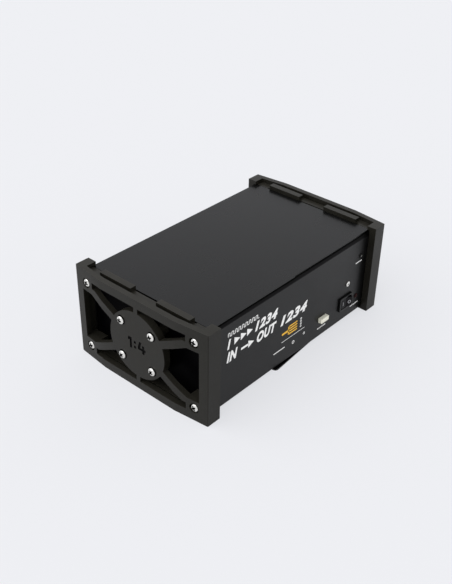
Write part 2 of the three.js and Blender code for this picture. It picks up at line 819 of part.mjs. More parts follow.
function socketBlank() {
  const flange = prismZ(roundedRectangle(flangeWidth, flangeHeight, flangeRound), seatGap, flangeProud);
  return join(flange, rodZ(socketBodyRadius, -socketBodyDepth, flangeProud / 2, mediumTurn));
}

function latchBottom() {
  return socketBoreRadius + fit + seatGap;
}

// Output and link sockets: a ring-shaped bore round the contact insert, and a slot for the latch
function femaleSocketSolid() {
  const boreFloor = flangeProud - socketBoreDepth;
  const ring = cut(
    rodZ(socketBoreRadius, boreFloor, flangeProud + overrun, mediumTurn),
    rodZ(socketInsertRadius, boreFloor - overrun, flangeProud + 2 * overrun, mediumTurn),
  );
  const insertTop = flangeProud - socketInsertSetback;
  const insertCut = rodZ(socketInsertRadius + overrun / 2, insertTop, flangeProud + overrun, mediumTurn);
  const latchSlot = block(-latchWidth / 2 - fit, latchWidth / 2 + fit, latchBottom() - fit,
    latchBottom() + latchHeight + fit, latchSlotFloor, flangeProud + overrun);
  return cut(socketBlank(), ring, insertCut, latchSlot);
}

// The input: a plain round bore with three pins that stand short of the flange
function maleSocketSolid() {
  const boreFloor = flangeProud - socketBoreDepth;
  const bore = rodZ(plugBoreRadius, boreFloor, flangeProud + overrun, mediumTurn);
  const pins = contactPlaces().map(([x, y]) => {
    return rodZ(plugPinRadius, boreFloor - overrun, flangeProud - plugPinSetback, coarseTurn / 2, x, y);
  });
  return join(cut(socketBlank(), bore), pins);
}

function latchSolid() {
  const back = latchSlotFloor + latchTravel + fit;
  return block(-latchWidth / 2, latchWidth / 2, latchBottom(), latchBottom() + latchHeight,
    back, back + latchThickness);
}

function turnToRear(mesh, x, z) {
  mesh.position.set(x, rearFace, z);
  mesh.rotation.set(Math.PI / 2, Math.PI, 0);
}

function addSockets() {
  const female = geometryOf(femaleSocketSolid());
  const male = geometryOf(maleSocketSolid());
  const latch = geometryOf(latchSolid());
  for (const { name, x, z, male: isMale } of socketPlaces()) {
    const shell = addPart(name, (isMale ? male : female).clone(), finish.nickelShell());
    turnToRear(shell, x, z);
    if (isMale) continue;
    const tab = addPart(name.replace('socket', 'latch'), latch.clone(), finish.blackPlastic());
    turnToRear(tab, x, z);
  }
}

// Mains inlet

function inletBodyWidth() {
  return inletFlangeWidth - 2 * inletBodyInset;
}

function inletBodyHeight() {
  return inletFlangeHeight - 2 * inletBodyInset;
}

function inletCavityOutline() {
  const w = inletCavityWidth / 2;
  const h = inletCavityHeight / 2;
  const z = inletZ + inletCavityRaise;
  return polygon([
    [inletX - w, z - h],
    [inletX + w, z - h],
    [inletX + w, z + h - inletCavityChamfer],
    [inletX + w - inletCavityChamfer, z + h],
    [inletX - w + inletCavityChamfer, z + h],
    [inletX - w, z + h - inletCavityChamfer],
  ]);
}

function mainsInletSolid() {
  const face = rearFace + flangeProud;
  const cavityFloor = face - inletCavityDepth;
  const cavityZ = inletZ + inletCavityRaise;
  const drawerZ = inletZ - drawerDrop;
  const flange = prismY(
    roundedRectangle(inletFlangeWidth, inletFlangeHeight, inletFlangeRound, inletX, inletZ),
    rearFace + seatGap, face,
  );
  const body = prismY(
    roundedRectangle(inletBodyWidth(), inletBodyHeight(), inletFlangeRound - fit, inletX, inletZ),
    rearFace - inletBodyDepth, rearFace + flangeProud / 2,
  );
  const cavity = prismY(inletCavityOutline(), cavityFloor, face + overrun);
  const bladeZ = [cavityZ - bladeStagger / 2, cavityZ + bladeStagger / 2, cavityZ - bladeStagger / 2];
  const blades = [-1, 0, 1].map((side, index) => {
    const x = inletX + (side * bladeSpread) / 2;
    return block(x - bladeWidth / 2, x + bladeWidth / 2, cavityFloor - overrun, face - bladeSetback,
      bladeZ[index] - bladeTall / 2, bladeZ[index] + bladeTall / 2);
  });
  const slot = block(inletX - drawerWidth / 2 - fit, inletX + drawerWidth / 2 + fit,
    face - drawerLength - fit, face + overrun,
    drawerZ - drawerHeight / 2 - fit, drawerZ + drawerHeight / 2 + fit);
  return join(cut(join(flange, body), cavity, slot), blades);
}

// The drawer slides out for the fuse that lies in its trough
function fuseDrawerSolid() {
  const face = rearFace + flangeProud;
  const drawerZ = inletZ - drawerDrop;
  const halfWide = drawerWidth / 2;
  const halfTall = drawerHeight / 2;
  const tray = block(inletX - halfWide, inletX + halfWide, face - drawerLength, face + drawerLipProud / 2,
    drawerZ - halfTall, drawerZ + halfTall);
  const trough = block(inletX - halfWide + sheet, inletX + halfWide - sheet, face - drawerLength + sheet,
    face - sheet, drawerZ - halfTall + sheet, drawerZ + halfTall + overrun);
  const lip = block(inletX - halfWide - drawerLipMargin, inletX + halfWide + drawerLipMargin,
    face + seatGap, face + drawerLipProud, drawerZ - halfTall - drawerLipMargin,
    drawerZ + halfTall + drawerLipMargin);
  return join(cut(tray, trough), lip);
}

function addMainsInlet() {
  addPart('mains_inlet', mainsInletSolid(), finish.blackPlastic());
  addPart('fuse_drawer', fuseDrawerSolid(), finish.blackPlastic());
}

// Circuit boards on their spacers

function boardSolid(x, y, width, depth, parts) {
  const bed = block(x - width / 2, x + width / 2, y - depth / 2, y + depth / 2, boardSeat, boardTop);
  return join(bed, parts);
}

function onBoard(x, y, width, depth, height) {
  return block(x - width / 2, x + width / 2, y - depth / 2, y + depth / 2,
    boardTop - boardThickness / 2, boardTop + height);
}

// One driver chip and one isolator for each output
function chipRow() {
  const chips = [];
  const start = mainBoardX - mainBoardWidth / 2 + chipStartGap;
  const pitch = (mainBoardWidth - chipStartGap - chipEndGap) / (outputCount - 1);
  for (let output = 0; output < outputCount; output += 1) {
    const x = start + output * pitch;
    chips.push(onBoard(x, mainBoardY, chipLength, chipDepth, chipHeight));
    chips.push(onBoard(x, mainBoardY - isolatorSetback, isolatorLength, chipDepth, chipHeight));
  }
  return chips;
}

function supplyParts() {
  const transformer = onBoard(supplyBoardX, -transformerSetback,
    transformerLength, transformerDepth, transformerHeight);
  const capacitors = [-1, 1].map((side) => rodZ(capacitorRadius, boardTop - boardThickness / 2,
    boardTop + capacitorHeight, coarseTurn, supplyBoardX + (side * capacitorSpread) / 2,
    capacitorSetback));
  return [transformer, ...capacitors];
}

function addBoards() {
  const boards = [
    ['main_board', mainBoardX, mainBoardY, mainBoardWidth, mainBoardDepth, chipRow()],
    ['supply_board', supplyBoardX, 0, supplyBoardWidth, supplyBoardDepth, supplyParts()],
  ];
  for (const [name, x, y, width, depth, parts] of boards) {
    addPart(name, boardSolid(x, y, width, depth, parts), finish.circuitBoard());
    signs().forEach(([sideX, sideY], index) => {
      const spacerX = x + sideX * (width / 2 - spacerInset);
      const spacerY = y + sideY * (depth / 2 - spacerInset);
      const spacer = rodZ(spacerRadius, floorInside, boardSeat, coarseTurn, spacerX, spacerY);
      addPart(`${name.split('_')[0]}_spacer_${index + 1}`, spacer, finish.nickelShell());
    });
  }
}

// Swivel plate and its pivot

function addSwivelPlate() {
  const plateTop = plateFloorGap + plateThickness;
  const headTop = plateFloorGap + pivotHeadThickness;
  const nutTop = floorInside + seatGap + pivotNutHeight;
  const outline = roundedRectangle(plateWidth, caseWidth, plateRound);
  const plate = cut(
    prismZ(outline, plateFloorGap, plateTop, 5),
    rodZ(pivotRadius + fit, plateFloorGap - overrun, plateTop + overrun, mediumTurn),
    rodZ(pivotHeadRadius + fit, plateFloorGap - overrun, headTop + fit, mediumTurn),
  );
  const plateMesh = addPart('swivel_plate', plate, finish.paintedSheet());
  plateMesh.rotation.z = THREE.MathUtils.degToRad(plateTurn);
  const pivot = turned([
    [0, plateFloorGap],
    [pivotHeadRadius, plateFloorGap],
    [pivotHeadRadius, headTop],
    [pivotRadius, headTop],
    [pivotRadius, nutTop + pivotThreadPast],
    [0, nutTop + pivotThreadPast],
  ], mediumTurn);
  addPart('pivot_bolt', pivot, finish.plainSteel());
  const washer = cut(
    rodZ(pivotWasherRadius, plateTop + fit, caseBottom - seatGap, mediumTurn),
    rodZ(pivotRadius + fit, plateTop, caseBottom + overrun, mediumTurn),
  );
  addPart('pivot_washer', washer, finish.plainSteel());
  const nut = cut(
    prismZ(hexagon(pivotNutWidth), floorInside + seatGap, nutTop),
    rodZ(pivotRadius + fit, floorInside - overrun, nutTop + overrun, mediumTurn),
  );
  addPart('pivot_nut', nut, finish.plainSteel());
}

addCase();
addEndFrames();
addRocker();
addButton();
addPanelFittings();
addSockets();
addMainsInlet();
addBoards();
addSwivelPlate();

export default splitter;
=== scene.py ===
"""A four-way DMX splitter on a pale floor: a black sheet-metal case between two bowed rubber end frames."""

import json
import math
from collections import namedtuple

import bmesh
import bpy
from mathutils import Matrix, Vector


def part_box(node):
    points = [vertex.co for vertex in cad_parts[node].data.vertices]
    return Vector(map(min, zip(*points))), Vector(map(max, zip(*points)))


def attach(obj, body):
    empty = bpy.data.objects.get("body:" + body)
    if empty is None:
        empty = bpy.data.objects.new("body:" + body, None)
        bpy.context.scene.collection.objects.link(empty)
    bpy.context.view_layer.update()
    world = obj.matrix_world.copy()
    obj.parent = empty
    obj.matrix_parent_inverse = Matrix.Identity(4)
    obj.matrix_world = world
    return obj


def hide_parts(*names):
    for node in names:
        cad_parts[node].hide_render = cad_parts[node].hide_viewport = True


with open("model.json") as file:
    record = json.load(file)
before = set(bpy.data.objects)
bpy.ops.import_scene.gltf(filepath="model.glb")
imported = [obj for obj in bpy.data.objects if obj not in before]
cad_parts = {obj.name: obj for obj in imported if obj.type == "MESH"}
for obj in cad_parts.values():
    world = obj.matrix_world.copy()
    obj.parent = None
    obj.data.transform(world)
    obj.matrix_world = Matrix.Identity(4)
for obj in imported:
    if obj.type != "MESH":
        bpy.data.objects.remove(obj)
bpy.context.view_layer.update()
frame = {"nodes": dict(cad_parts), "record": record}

MM = 0.001

# The body that everything fixed rides on
CASE = "case"

# The photograph's camera, fitted to the box's own edges
PHOTO_HEIGHT = 584
SENSOR = 36.0
FOCAL_PIXELS = 877.59
CAMERA_PLACE = Vector((-537.6, -455.7, 501.8)) * MM
CAMERA_AZIMUTH = math.radians(-48.963)
CAMERA_ELEVATION = math.radians(33.227)
CAMERA_ROLL = math.radians(1.130)
CAMERA_CLIP = (0.01, 50)

# Floor, world and lamp
PALE = (0.855, 0.863, 0.896)
FLOOR_SIZE = 8.0
FLOOR_SHADOW = 0.26
MIRRORED_SHADOW = 0.6
SKY_LOW = 1.50
SKY_HIGH = 0.42
SKY_HEIGHTS = (0.05, 0.85)
KEY_STRENGTH = 1.4
KEY_SPREAD = math.radians(70)
KEY_FROM = Vector((-0.55, 0.35, 0.76))


def add_object(name, data):
    thing = bpy.data.objects.new(name, data)
    bpy.context.scene.collection.objects.link(thing)
    return thing


def feed(tree, node, inputs):
    """Gives a node's inputs, by name or number, plain values or the outputs of other nodes."""
    for label, value in inputs.items():
        if hasattr(value, "links"):
            tree.links.new(value, node.inputs[label])
        else:
            node.inputs[label].default_value = value


def add_node(tree, kind, inputs=None, **settings):
    node = tree.nodes.new(kind)
    for name, value in settings.items():
        setattr(node, name, value)
    feed(tree, node, inputs or {})
    return node


def math_node(tree, operation, *values):
    return add_node(tree, "ShaderNodeMath", dict(enumerate(values)), operation=operation).outputs[0]


def between(tree, factor, low, high, start=0.0, stop=1.0):
    """Low to high, as the factor goes from start to stop."""
    return add_node(tree, "ShaderNodeMapRange", {
        "Value": factor, "From Min": start, "From Max": stop, "To Min": low, "To Max": high,
    }).outputs["Result"]


def face_place(u, v, w, origin):
    """The axes U, V and W of a drawing, as world directions, and the drawing's origin."""
    turn = Matrix((Vector(u), Vector(v), Vector(w))).transposed()
    return Matrix.Translation(Vector(origin)) @ turn.to_4x4()


def box_outline(u0, u1, v0, v1):
    return [(u0, v0), (u1, v0), (u1, v1), (u0, v1)]


# Camera, floor and light


def make_camera():
    data = bpy.data.cameras.new("photo_camera")
    data.sensor_fit = "AUTO"
    data.sensor_width = SENSOR
    data.lens = FOCAL_PIXELS / PHOTO_HEIGHT * SENSOR
    data.clip_start, data.clip_end = CAMERA_CLIP
    back = Vector((
        math.sin(CAMERA_AZIMUTH) * math.cos(CAMERA_ELEVATION),
        -math.cos(CAMERA_AZIMUTH) * math.cos(CAMERA_ELEVATION),
        math.sin(CAMERA_ELEVATION),
    ))
    right = Vector((0, 0, 1)).cross(back).normalized()
    up = back.cross(right)
    turned_right = right * math.cos(CAMERA_ROLL) + up * math.sin(CAMERA_ROLL)
    turned_up = up * math.cos(CAMERA_ROLL) - right * math.sin(CAMERA_ROLL)
    camera = add_object("photo_camera", data)
    camera.matrix_world = face_place(turned_right, turned_up, back, CAMERA_PLACE)
    bpy.context.scene.camera = camera


def cleared_tree(owner):
    owner.use_nodes = True
    owner.node_tree.nodes.clear()
    return owner.node_tree


def end_in_two_looks(tree, output, straight, mirrored, lit, plain):
    """Ends a tree in one look for rays of light and another, the plain one, for what is seen.

    Straight is the plain share for camera and glass, mirrored is the one for gloss.
    """
    path = add_node(tree, "ShaderNodeLightPath").outputs
    through = math_node(tree, "MAXIMUM", path["Is Camera Ray"], path["Is Transmission Ray"])
    share = math_node(tree, "MAXIMUM", math_node(tree, "MULTIPLY", through, straight),
                      math_node(tree, "MULTIPLY", path["Is Glossy Ray"], mirrored))
    mix = add_node(tree, "ShaderNodeMixShader", {"Fac": share, 1: lit.outputs[0], 2: plain.outputs[0]})
    add_node(tree, output, {"Surface": mix.outputs[0]})


def make_world():
    """Eyes and gloss see one pale studio; all else is lit by a sky that is brightest near the floor."""
    world = bpy.data.worlds.new("studio")
    bpy.context.scene.world = world
    tree = cleared_tree(world)
    place = add_node(tree, "ShaderNodeTexCoord")
    split = add_node(tree, "ShaderNodeSeparateXYZ", {0: place.outputs["Generated"]})
    level = between(tree, split.outputs["Z"], SKY_LOW, SKY_HIGH, *SKY_HEIGHTS)
    sky = add_node(tree, "ShaderNodeBackground", {"Color": level})
    seen = add_node(tree, "ShaderNodeBackground", {"Color": (*PALE, 1)})
    end_in_two_looks(tree, "ShaderNodeOutputWorld", 1.0, 1.0, sky, seen)


def make_floor():
    """A pale matt floor. Eyes see only a part of the shadow on it, and gloss sees more."""
    mesh = bpy.data.meshes.new("floor")
    half = FLOOR_SIZE / 2
    corners = [(u, v, 0) for u, v in box_outline(-half, half, -half, half)]
    mesh.from_pydata(corners, [], [(0, 1, 2, 3)])
    material = bpy.data.materials.new("pale_floor")
    tree = cleared_tree(material)
    matt = add_node(tree, "ShaderNodeBsdfDiffuse", {"Color": (*PALE, 1)})
    plain = add_node(tree, "ShaderNodeEmission", {"Color": (*PALE, 1)})
    end_in_two_looks(tree, "ShaderNodeOutputMaterial", 1 - FLOOR_SHADOW, 1 - MIRRORED_SHADOW, matt, plain)
    mesh.materials.append(material)
    add_object("floor", mesh)


def make_key_light():
    data = bpy.data.lights.new("soft_key", "SUN")
    data.energy = KEY_STRENGTH
    data.angle = KEY_SPREAD
    add_object("soft_key", data).rotation_euler = KEY_FROM.to_track_quat("Z", "Y").to_euler()


# Shader node groups that the finishes share

FINE_SHARE = 0.45
PATCH_EDGES = (0.3, 0.7)
EDGE_SAMPLES = 4
EDGE_TURN = (0.80, 0.99)
SPOT_EDGES = (0.38, 0.62)
UPWARD_SLOPE = (0.25, 0.9)
DRIFT_EDGES = (0.3, 0.65)


def new_group(name, inputs, outputs):
    """A shader group and the sockets of its inputs. A socket's label says what it carries."""
    group = bpy.data.node_groups.new(name, "ShaderNodeTree")
    for side, labels in (("INPUT", inputs), ("OUTPUT", outputs)):
        for label in labels:
            kind = "Vector" if label == "Vector" else "Color" if label.endswith("Colour") else "Float"
            socket = group.interface.new_socket(name=label, in_out=side, socket_type=f"NodeSocket{kind}")
            if side == "INPUT" and inputs[label] is not None:
                socket.default_value = inputs[label]
    return group, add_node(group, "NodeGroupInput").outputs


def noise(tree, vector, scale, detail, roughness):
    return add_node(tree, "ShaderNodeTexNoise", {
        "Vector": vector, "Scale": scale, "Detail": detail, "Roughness": roughness,
    }).outputs["Fac"]


def blend_colour(tree, factor, low, high):
    return add_node(tree, "ShaderNodeMix", {"Factor": factor, 6: low, 7: high}, data_type="RGBA").outputs[2]


def build_grain_group():
    """A moulded or powder-coated skin: fine grain for relief, soft patches that shift colour and gloss."""
    group, given = new_group("skin_grain", {
        "Vector": None, "Grain Scale": 1500.0, "Patch Scale": 30.0, "Dark Colour": None,
        "Light Colour": None, "Smooth": 0.4, "Rough": 0.6,
    }, ("Colour", "Roughness", "Height"))
    fine = noise(group, given["Vector"], given["Grain Scale"], detail=2.0, roughness=0.55)
    patch = noise(group, given["Vector"], given["Patch Scale"], detail=4.0, roughness=0.6)
    mixed = math_node(group, "ADD", math_node(group, "MULTIPLY", fine, FINE_SHARE),
                      math_node(group, "MULTIPLY", patch, 1 - FINE_SHARE))
    spread = between(group, mixed, 0.0, 1.0, *PATCH_EDGES)
    add_node(group, "NodeGroupOutput", {
        "Colour": blend_colour(group, spread, given["Dark Colour"], given["Light Colour"]),
        "Roughness": between(group, patch, given["Smooth"], given["Rough"], *PATCH_EDGES),
        "Height": fine,
    })
    return group


def build_layer_group(name, top, extra, cover):
    """A layer of another colour over the skin. Cover makes its mask from the group's inputs."""
    group, given = new_group(name, {"Vector": None, "Colour": None, top: None, "Amount": 0.5, **extra},
                             ("Colour", "Mask"))
    mask = math_node(group, "MULTIPLY", cover(group, given), given["Amount"])
    colour = blend_colour(group, mask, given["Colour"], given[top])
    add_node(group, "NodeGroupOutput", {"Colour": colour, "Mask": mask})
    return group


def rubbed_cover(group, given):
    """Edges and corners made a little paler in broken patches: handling wear, and also a painted highlight
    along the edges.
    """
    rounded = add_node(group, "ShaderNodeBevel", {"Radius": given["Width"]}, samples=EDGE_SAMPLES)
    shape = add_node(group, "ShaderNodeNewGeometry")
    turn = add_node(group, "ShaderNodeVectorMath", {
        0: rounded.outputs["Normal"], 1: shape.outputs["Normal"],
    }, operation="DOT_PRODUCT")
    raised = between(group, turn.outputs["Value"], 1.0, 0.0, *EDGE_TURN)
    spots = noise(group, given["Vector"], scale=260.0, detail=3.0, roughness=0.7)
    return math_node(group, "MULTIPLY", raised, between(group, spots, 0.0, 1.0, *SPOT_EDGES))


def dusty_cover(group, given):
    """Pale dust on faces that look up, in soft drifts, which also stands for the light that falls on those
    tops: painted light.
    """
    shape = add_node(group, "ShaderNodeNewGeometry")
    split = add_node(group, "ShaderNodeSeparateXYZ", {0: shape.outputs["Normal"]})
    level = between(group, split.outputs["Z"], 0.0, 1.0, *UPWARD_SLOPE)
    drifts = noise(group, given["Vector"], scale=55.0, detail=4.0, roughness=0.65)
    return math_node(group, "MULTIPLY", level, between(group, drifts, 0.6, 1.0, *DRIFT_EDGES))


GRAIN = build_grain_group()
# Paler edges: partly wear, partly a painted highlight on the arrises.
EDGES = build_layer_group("rubbed_and_highlit_edges", "Edge Colour", {"Width": 0.0006}, rubbed_cover)
DUST_AND_LIGHT_LAYER = build_layer_group("dust_and_painted_top_light", "Dust And Top Light Colour", {}, dusty_cover)


FINISHES = {}


def make_finish(name, dark, light, gloss, grain, patch, edge=None, top_dust_and_light=None, metallic=0.0, specular=0.5):
    """Makes a finish from the shared groups.

    Gloss is (smooth, rough), grain is (scale, depth), and edge and top_dust_and_light are (colour, amount).
    The edge layer pales edges as wear and as a painted highlight; the other pales upward faces as dust and
    as painted light from above.
    """
    material = bpy.data.materials.new(name)
    FINISHES[name] = material
    material.use_nodes = True
    tree = material.node_tree
    place = add_node(tree, "ShaderNodeTexCoord").outputs["Object"]
    skin = add_node(tree, "ShaderNodeGroup", {
        "Vector": place, "Grain Scale": grain[0], "Patch Scale": patch, "Dark Colour": (*dark, 1),
        "Light Colour": (*light, 1), "Smooth": gloss[0], "Rough": gloss[1],
    }, node_tree=GRAIN).outputs
    colour = skin["Colour"]
    for layer, group, label in ((edge, EDGES, "Edge Colour"), (top_dust_and_light, DUST_AND_LIGHT_LAYER, "Dust And Top Light Colour")):
        if layer:
            colour = add_node(tree, "ShaderNodeGroup", {
                "Vector": place, "Colour": colour, label: (*layer[0], 1), "Amount": layer[1],
            }, node_tree=group).outputs["Colour"]
    bump = add_node(tree, "ShaderNodeBump", {"Height": skin["Height"], "Distance": grain[1]})
    feed(tree, tree.nodes["Principled BSDF"], {
        "Base Color": colour, "Metallic": metallic, "Roughness": skin["Roughness"],
        "Specular IOR Level": specular, "Normal": bump.outputs["Normal"],
    })


def grey(level, warm=0.0):
    return (level + warm, level, level - warm)


# What finishes share: a grain and its patch size, the paint's edge, and the ink's gloss, grain and patch
PAINT = ((1300, 0.00002), 18)
# Paint edges paled as wear and as a painted highlight.
PAINT_EDGE = (grey(0.035), 0.35)
STEEL = ((2200, 0.000005), 400)
LENS = ((600, 0.000002), 200)
INK = ((0.55, 0.70), (1600, 0.000004), 80)

# The lid's upward face is paled a little, as dust and as painted light.
make_finish("lid_paint", grey(0.0010), grey(0.0024), (0.22, 0.30), *PAINT, PAINT_EDGE, (grey(0.012), 0.12),
            specular=0.26)
make_finish("tray_paint", grey(0.0010), grey(0.0024), (0.28, 0.38), *PAINT, PAINT_EDGE, specular=0.25)
# The bend under the lid: the tray's paint made darker and nearly unreflecting, as painted shade.
make_finish("bend_painted_shade", grey(0.0008), grey(0.0018), (0.30, 0.40), *PAINT, PAINT_EDGE, specular=0.08)
# End plates, seen through the frame windows: near black with almost no gloss, as painted shade, and a faint
# purple tint that is a painted sheen.
make_finish("plate_painted_shade", (0.0007, 0.0006, 0.0008), (0.0012, 0.0010, 0.0014), (0.30, 0.42), *PAINT,
            specular=0.01)
# Rubber: its upward faces are paled as dust and as painted light from above, and its edges as wear and as a
# painted highlight.
make_finish("frame_rubber", (0.0088, 0.0082, 0.0060), (0.0146, 0.0135, 0.0102), (0.32, 0.44),
            (1000, 0.00005), 40, (grey(0.032, 0.003), 0.5), ((0.046, 0.043, 0.035), 0.36), specular=0.19)
make_finish("black_plastic", grey(0.002), grey(0.004), (0.26, 0.38), (1700, 0.00001), 60,
            (grey(0.02), 0.3), specular=0.3)
# The rocker: darker and less glossy than the housing's plastic, as painted shade on the tipped paddle.
make_finish("rocker_plastic_painted_shade", (0.0020, 0.0016, 0.0024), (0.0036, 0.0030, 0.0042), (0.24, 0.36),
            (1700, 0.000006), 60, specular=0.12)
make_finish("cream_plastic", (0.87, 0.86, 0.72), (0.93, 0.92, 0.80), (0.35, 0.48), (900, 0.000005), 60)
make_finish("bright_steel", (0.74, 0.73, 0.69), (0.90, 0.89, 0.85), (0.10, 0.20), *STEEL, metallic=1.0)
# Near-black steel for the screws' cross recesses: painted shade.
make_finish("recess_painted_shade", grey(0.003), (0.010, 0.010, 0.009), (0.40, 0.60), *STEEL, metallic=1.0)
make_finish("nickel_shell", (0.40, 0.39, 0.37), (0.54, 0.53, 0.50), (0.28, 0.42), (1500, 0.00001), 200,
            metallic=1.0)
make_finish("gold_contact", (0.72, 0.50, 0.20), (0.83, 0.62, 0.28), (0.18, 0.32), (1500, 0.000004), 200,
            metallic=1.0)
make_finish("red_lens", (0.014, 0.0034, 0.0032), (0.024, 0.0050, 0.0048), (0.14, 0.24), *LENS, specular=0.08)
make_finish("smoke_lens", grey(0.002), grey(0.004), (0.10, 0.20), *LENS, specular=0.14)
# Grey for the signal lamp's tip: a painted highlight on the lens.
make_finish("lens_tip_painted_highlight", (0.14, 0.14, 0.13), (0.22, 0.22, 0.20), (0.10, 0.20), *LENS)
make_finish("grey_ink", (0.24, 0.24, 0.25), (0.34, 0.34, 0.35), *INK)
make_finish("white_ink", (0.88, 0.88, 0.87), (0.96, 0.96, 0.95), *INK)
make_finish("yellow_ink", (0.82, 0.44, 0.030), (0.93, 0.55, 0.045), *INK)
make_finish("circuit_board", (0.010, 0.075, 0.028), (0.020, 0.130, 0.050), (0.30, 0.45), (500, 0.00001), 90)
# Dark floor of the sunk hub figures and the screw grooves, darker than the rubber; in the grooves it is
# painted shade round the screws.
make_finish("sunk_dark_and_painted_shade", grey(0.0015), grey(0.0030), (0.75, 0.90), (1100, 0.00003), 40, specular=0.1)


# Shapes. A place is a matrix that carries a drawing in U and V, with W outwards, onto a face of the box.

HERE = Matrix.Identity(4)
ALONG_X = face_place((0, 1, 0), (0, 0, 1), (1, 0, 0), (0, 0, 0))
CUT_OVERRUN = 0.5 * MM
MERGE = 0.01 * MM
SOFT_MERGE = 0.005 * MM
FLAT_ANGLE = 0.5
HARD_ANGLE = 32.0
SMOOTH_ANGLE = 35.0
SKIN_SMOOTH_ANGLE = 46.0
SOFT_PROFILE = 0.6
FLAT_FACE_WEIGHT = 90


def panel_place(x=0.0, z=0.0):
    return face_place((1, 0, 0), (0, 0, 1), (0, -1, 0), (x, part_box("case_tray")[0][1], z))


def socket_place(node):
    """A socket's drawing on the rear face of the tray, with its origin at the socket's middle."""
    low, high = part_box(node)
    origin = ((low[0] + high[0]) / 2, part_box("case_tray")[1][1], (low[2] + high[2]) / 2)
    return face_place((-1, 0, 0), (0, 0, 1), (0, 1, 0), origin)


def side_place(sign, origin):
    """A drawing on the outer face of the left (-1) or right (1) end frame."""
    return face_place((0, sign, 0), (0, 0, 1), (sign, 0, 0), origin)


def to_mesh(bm, name, finishes=()):
    mesh = bpy.data.meshes.new(name)
    bm.to_mesh(mesh)
    bm.free()
    for finish in finishes:
        mesh.materials.append(FINISHES[finish])
    return mesh


def outward(bm):
    bmesh.ops.recalc_face_normals(bm, faces=bm.faces)
    return bm


def finish_mesh(name, bm, finishes, body=CASE, nodes=(), smooth_angle=SMOOTH_ANGLE):
    """Links a bmesh as one piece that rides on a body and stands for nodes, smooth up to an angle."""
    limit = math.radians(smooth_angle)
    for edge in bm.edges:
        if len(edge.link_faces) == 2:
            edge.smooth = edge.calc_face_angle(0.0) < limit
    for face in bm.faces:
        face.smooth = True
    piece = add_object(name, to_mesh(bm, name, finishes))
    even = piece.modifiers.new("flat_faces", "WEIGHTED_NORMAL")
    even.keep_sharp = True
    even.weight = FLAT_FACE_WEIGHT
    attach(piece, body)
    if nodes:
        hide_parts(*nodes)


def merged(mesh):
    """A copy of a solid's loose triangles, joined up and with its flat faces whole."""
    bm = bmesh.new()
    bm.from_mesh(mesh)
    bmesh.ops.remove_doubles(bm, verts=bm.verts, dist=MERGE)
    bmesh.ops.dissolve_limit(bm, angle_limit=math.radians(FLAT_ANGLE), verts=bm.verts, edges=bm.edges)
    return bm


def node_mesh(node):
    return merged(frame["nodes"][node].data)


def soften(bm, softness, steps=2, least_angle=HARD_ANGLE):
    limit = math.radians(least_angle)
    hard = [e for e in bm.edges if len(e.link_faces) == 2 and e.calc_face_angle(0.0) > limit]
    bmesh.ops.bevel(bm, geom=hard, offset=softness, offset_type="OFFSET", segments=steps,
                    profile=SOFT_PROFILE, affect="EDGES", clamp_overlap=True)
    bmesh.ops.remove_doubles(bm, verts=bm.verts, dist=SOFT_MERGE)
    return bm


def gather(mesh, places=(HERE,)):
    """A bmesh with a copy of a mesh at each place."""
    bm = bmesh.new()
    for place in places:
        before = len(bm.verts)
        bm.from_mesh(mesh)
        bm.verts.ensure_lookup_table()
        bmesh.ops.transform(bm, matrix=place, verts=bm.verts[before:])
    return bm


def add_turned(bm, profile, place=HERE, steps=48, centre=(0, 0), ring=False):
    """A solid from (radius, height) pairs turned about W, from axis to axis or as a closed ring."""
    circles = []
    for radius, height in profile:
        circle = []
        for step in range(steps if radius else 1):
            angle = step / steps * math.tau
            u = centre[0] + radius * math.cos(angle)
            v = centre[1] + radius * math.sin(angle)
            circle.append(bm.verts.new(place @ Vector((u, v, height))))
        circles.append(circle)
    following = circles[1:] + circles[:1] if ring else circles[1:]
    for low, high in zip(circles, following):
        for step in range(steps):
            after = (step + 1) % steps
            corners = [low[step % len(low)], low[after % len(low)], high[after % len(high)],
                       high[step % len(high)]]
            bm.faces.new(list(dict.fromkeys(corners)))
    return bm


def add_ring(bm, inner, outer, low, high, place=HERE, steps=32, centre=(0, 0)):
    """A flat closed ring about W."""
    profile = [(inner, low), (outer, low), (outer, high), (inner, high)]
    add_turned(bm, profile, place, steps, centre, ring=True)


def add_prism(bm, outline, low, high, place=HERE):
    """A closed solid from an outline of (u, v) pairs, counter-clockwise, between two heights."""
    bottom = [bm.verts.new(place @ Vector((u, v, low))) for u, v in outline]
    top = [bm.verts.new(place @ Vector((u, v, high))) for u, v in outline]
    bm.faces.new(bottom[::-1])
    bm.faces.new(top)
    for step in range(len(outline)):
        after = (step + 1) % len(outline)
        bm.faces.new((bottom[step], bottom[after], top[after], top[step]))
    return bm


def prism(*drawing):
    return add_prism(bmesh.new(), *drawing)


def turned(profile, steps):
    return add_turned(bmesh.new(), profile, steps=steps)


def quarter(steps, corner=0):
    """Cosine and sine at even steps of a quarter turn, the first one or a later one."""
    angles = [(corner + step / steps) * math.pi / 2 for step in range(steps + 1)]
    return [(math.cos(angle), math.sin(angle)) for angle in angles]


def rounded_outline(width, height, radius, steps=6):
    points = []
    for corner, (side_u, side_v) in enumerate(((1, 1), (-1, 1), (-1, -1), (1, -1))):
        points += [(side_u * (width / 2 - radius) + radius * cosine,
                    side_v * (height / 2 - radius) + radius * sine)
                   for cosine, sine in quarter(steps, corner)]
    return points


def bar_outline(start, stop, thickness):
    """A straight bar between two (u, v) points."""
    start = Vector(start)
    stop = Vector(stop)
    along = stop - start
    side = Vector((-along.y, along.x)).normalized() * thickness / 2
    return [tuple(corner) for corner in (start - side, stop - side, stop + side, start + side)]


def blank_mesh(bm, finishes=()):
    """A plain mesh of triangles that stands ready for a cut."""
    outward(bm)
    bmesh.ops.triangulate(bm, faces=bm.faces)
    return to_mesh(bm, "blank", finishes)


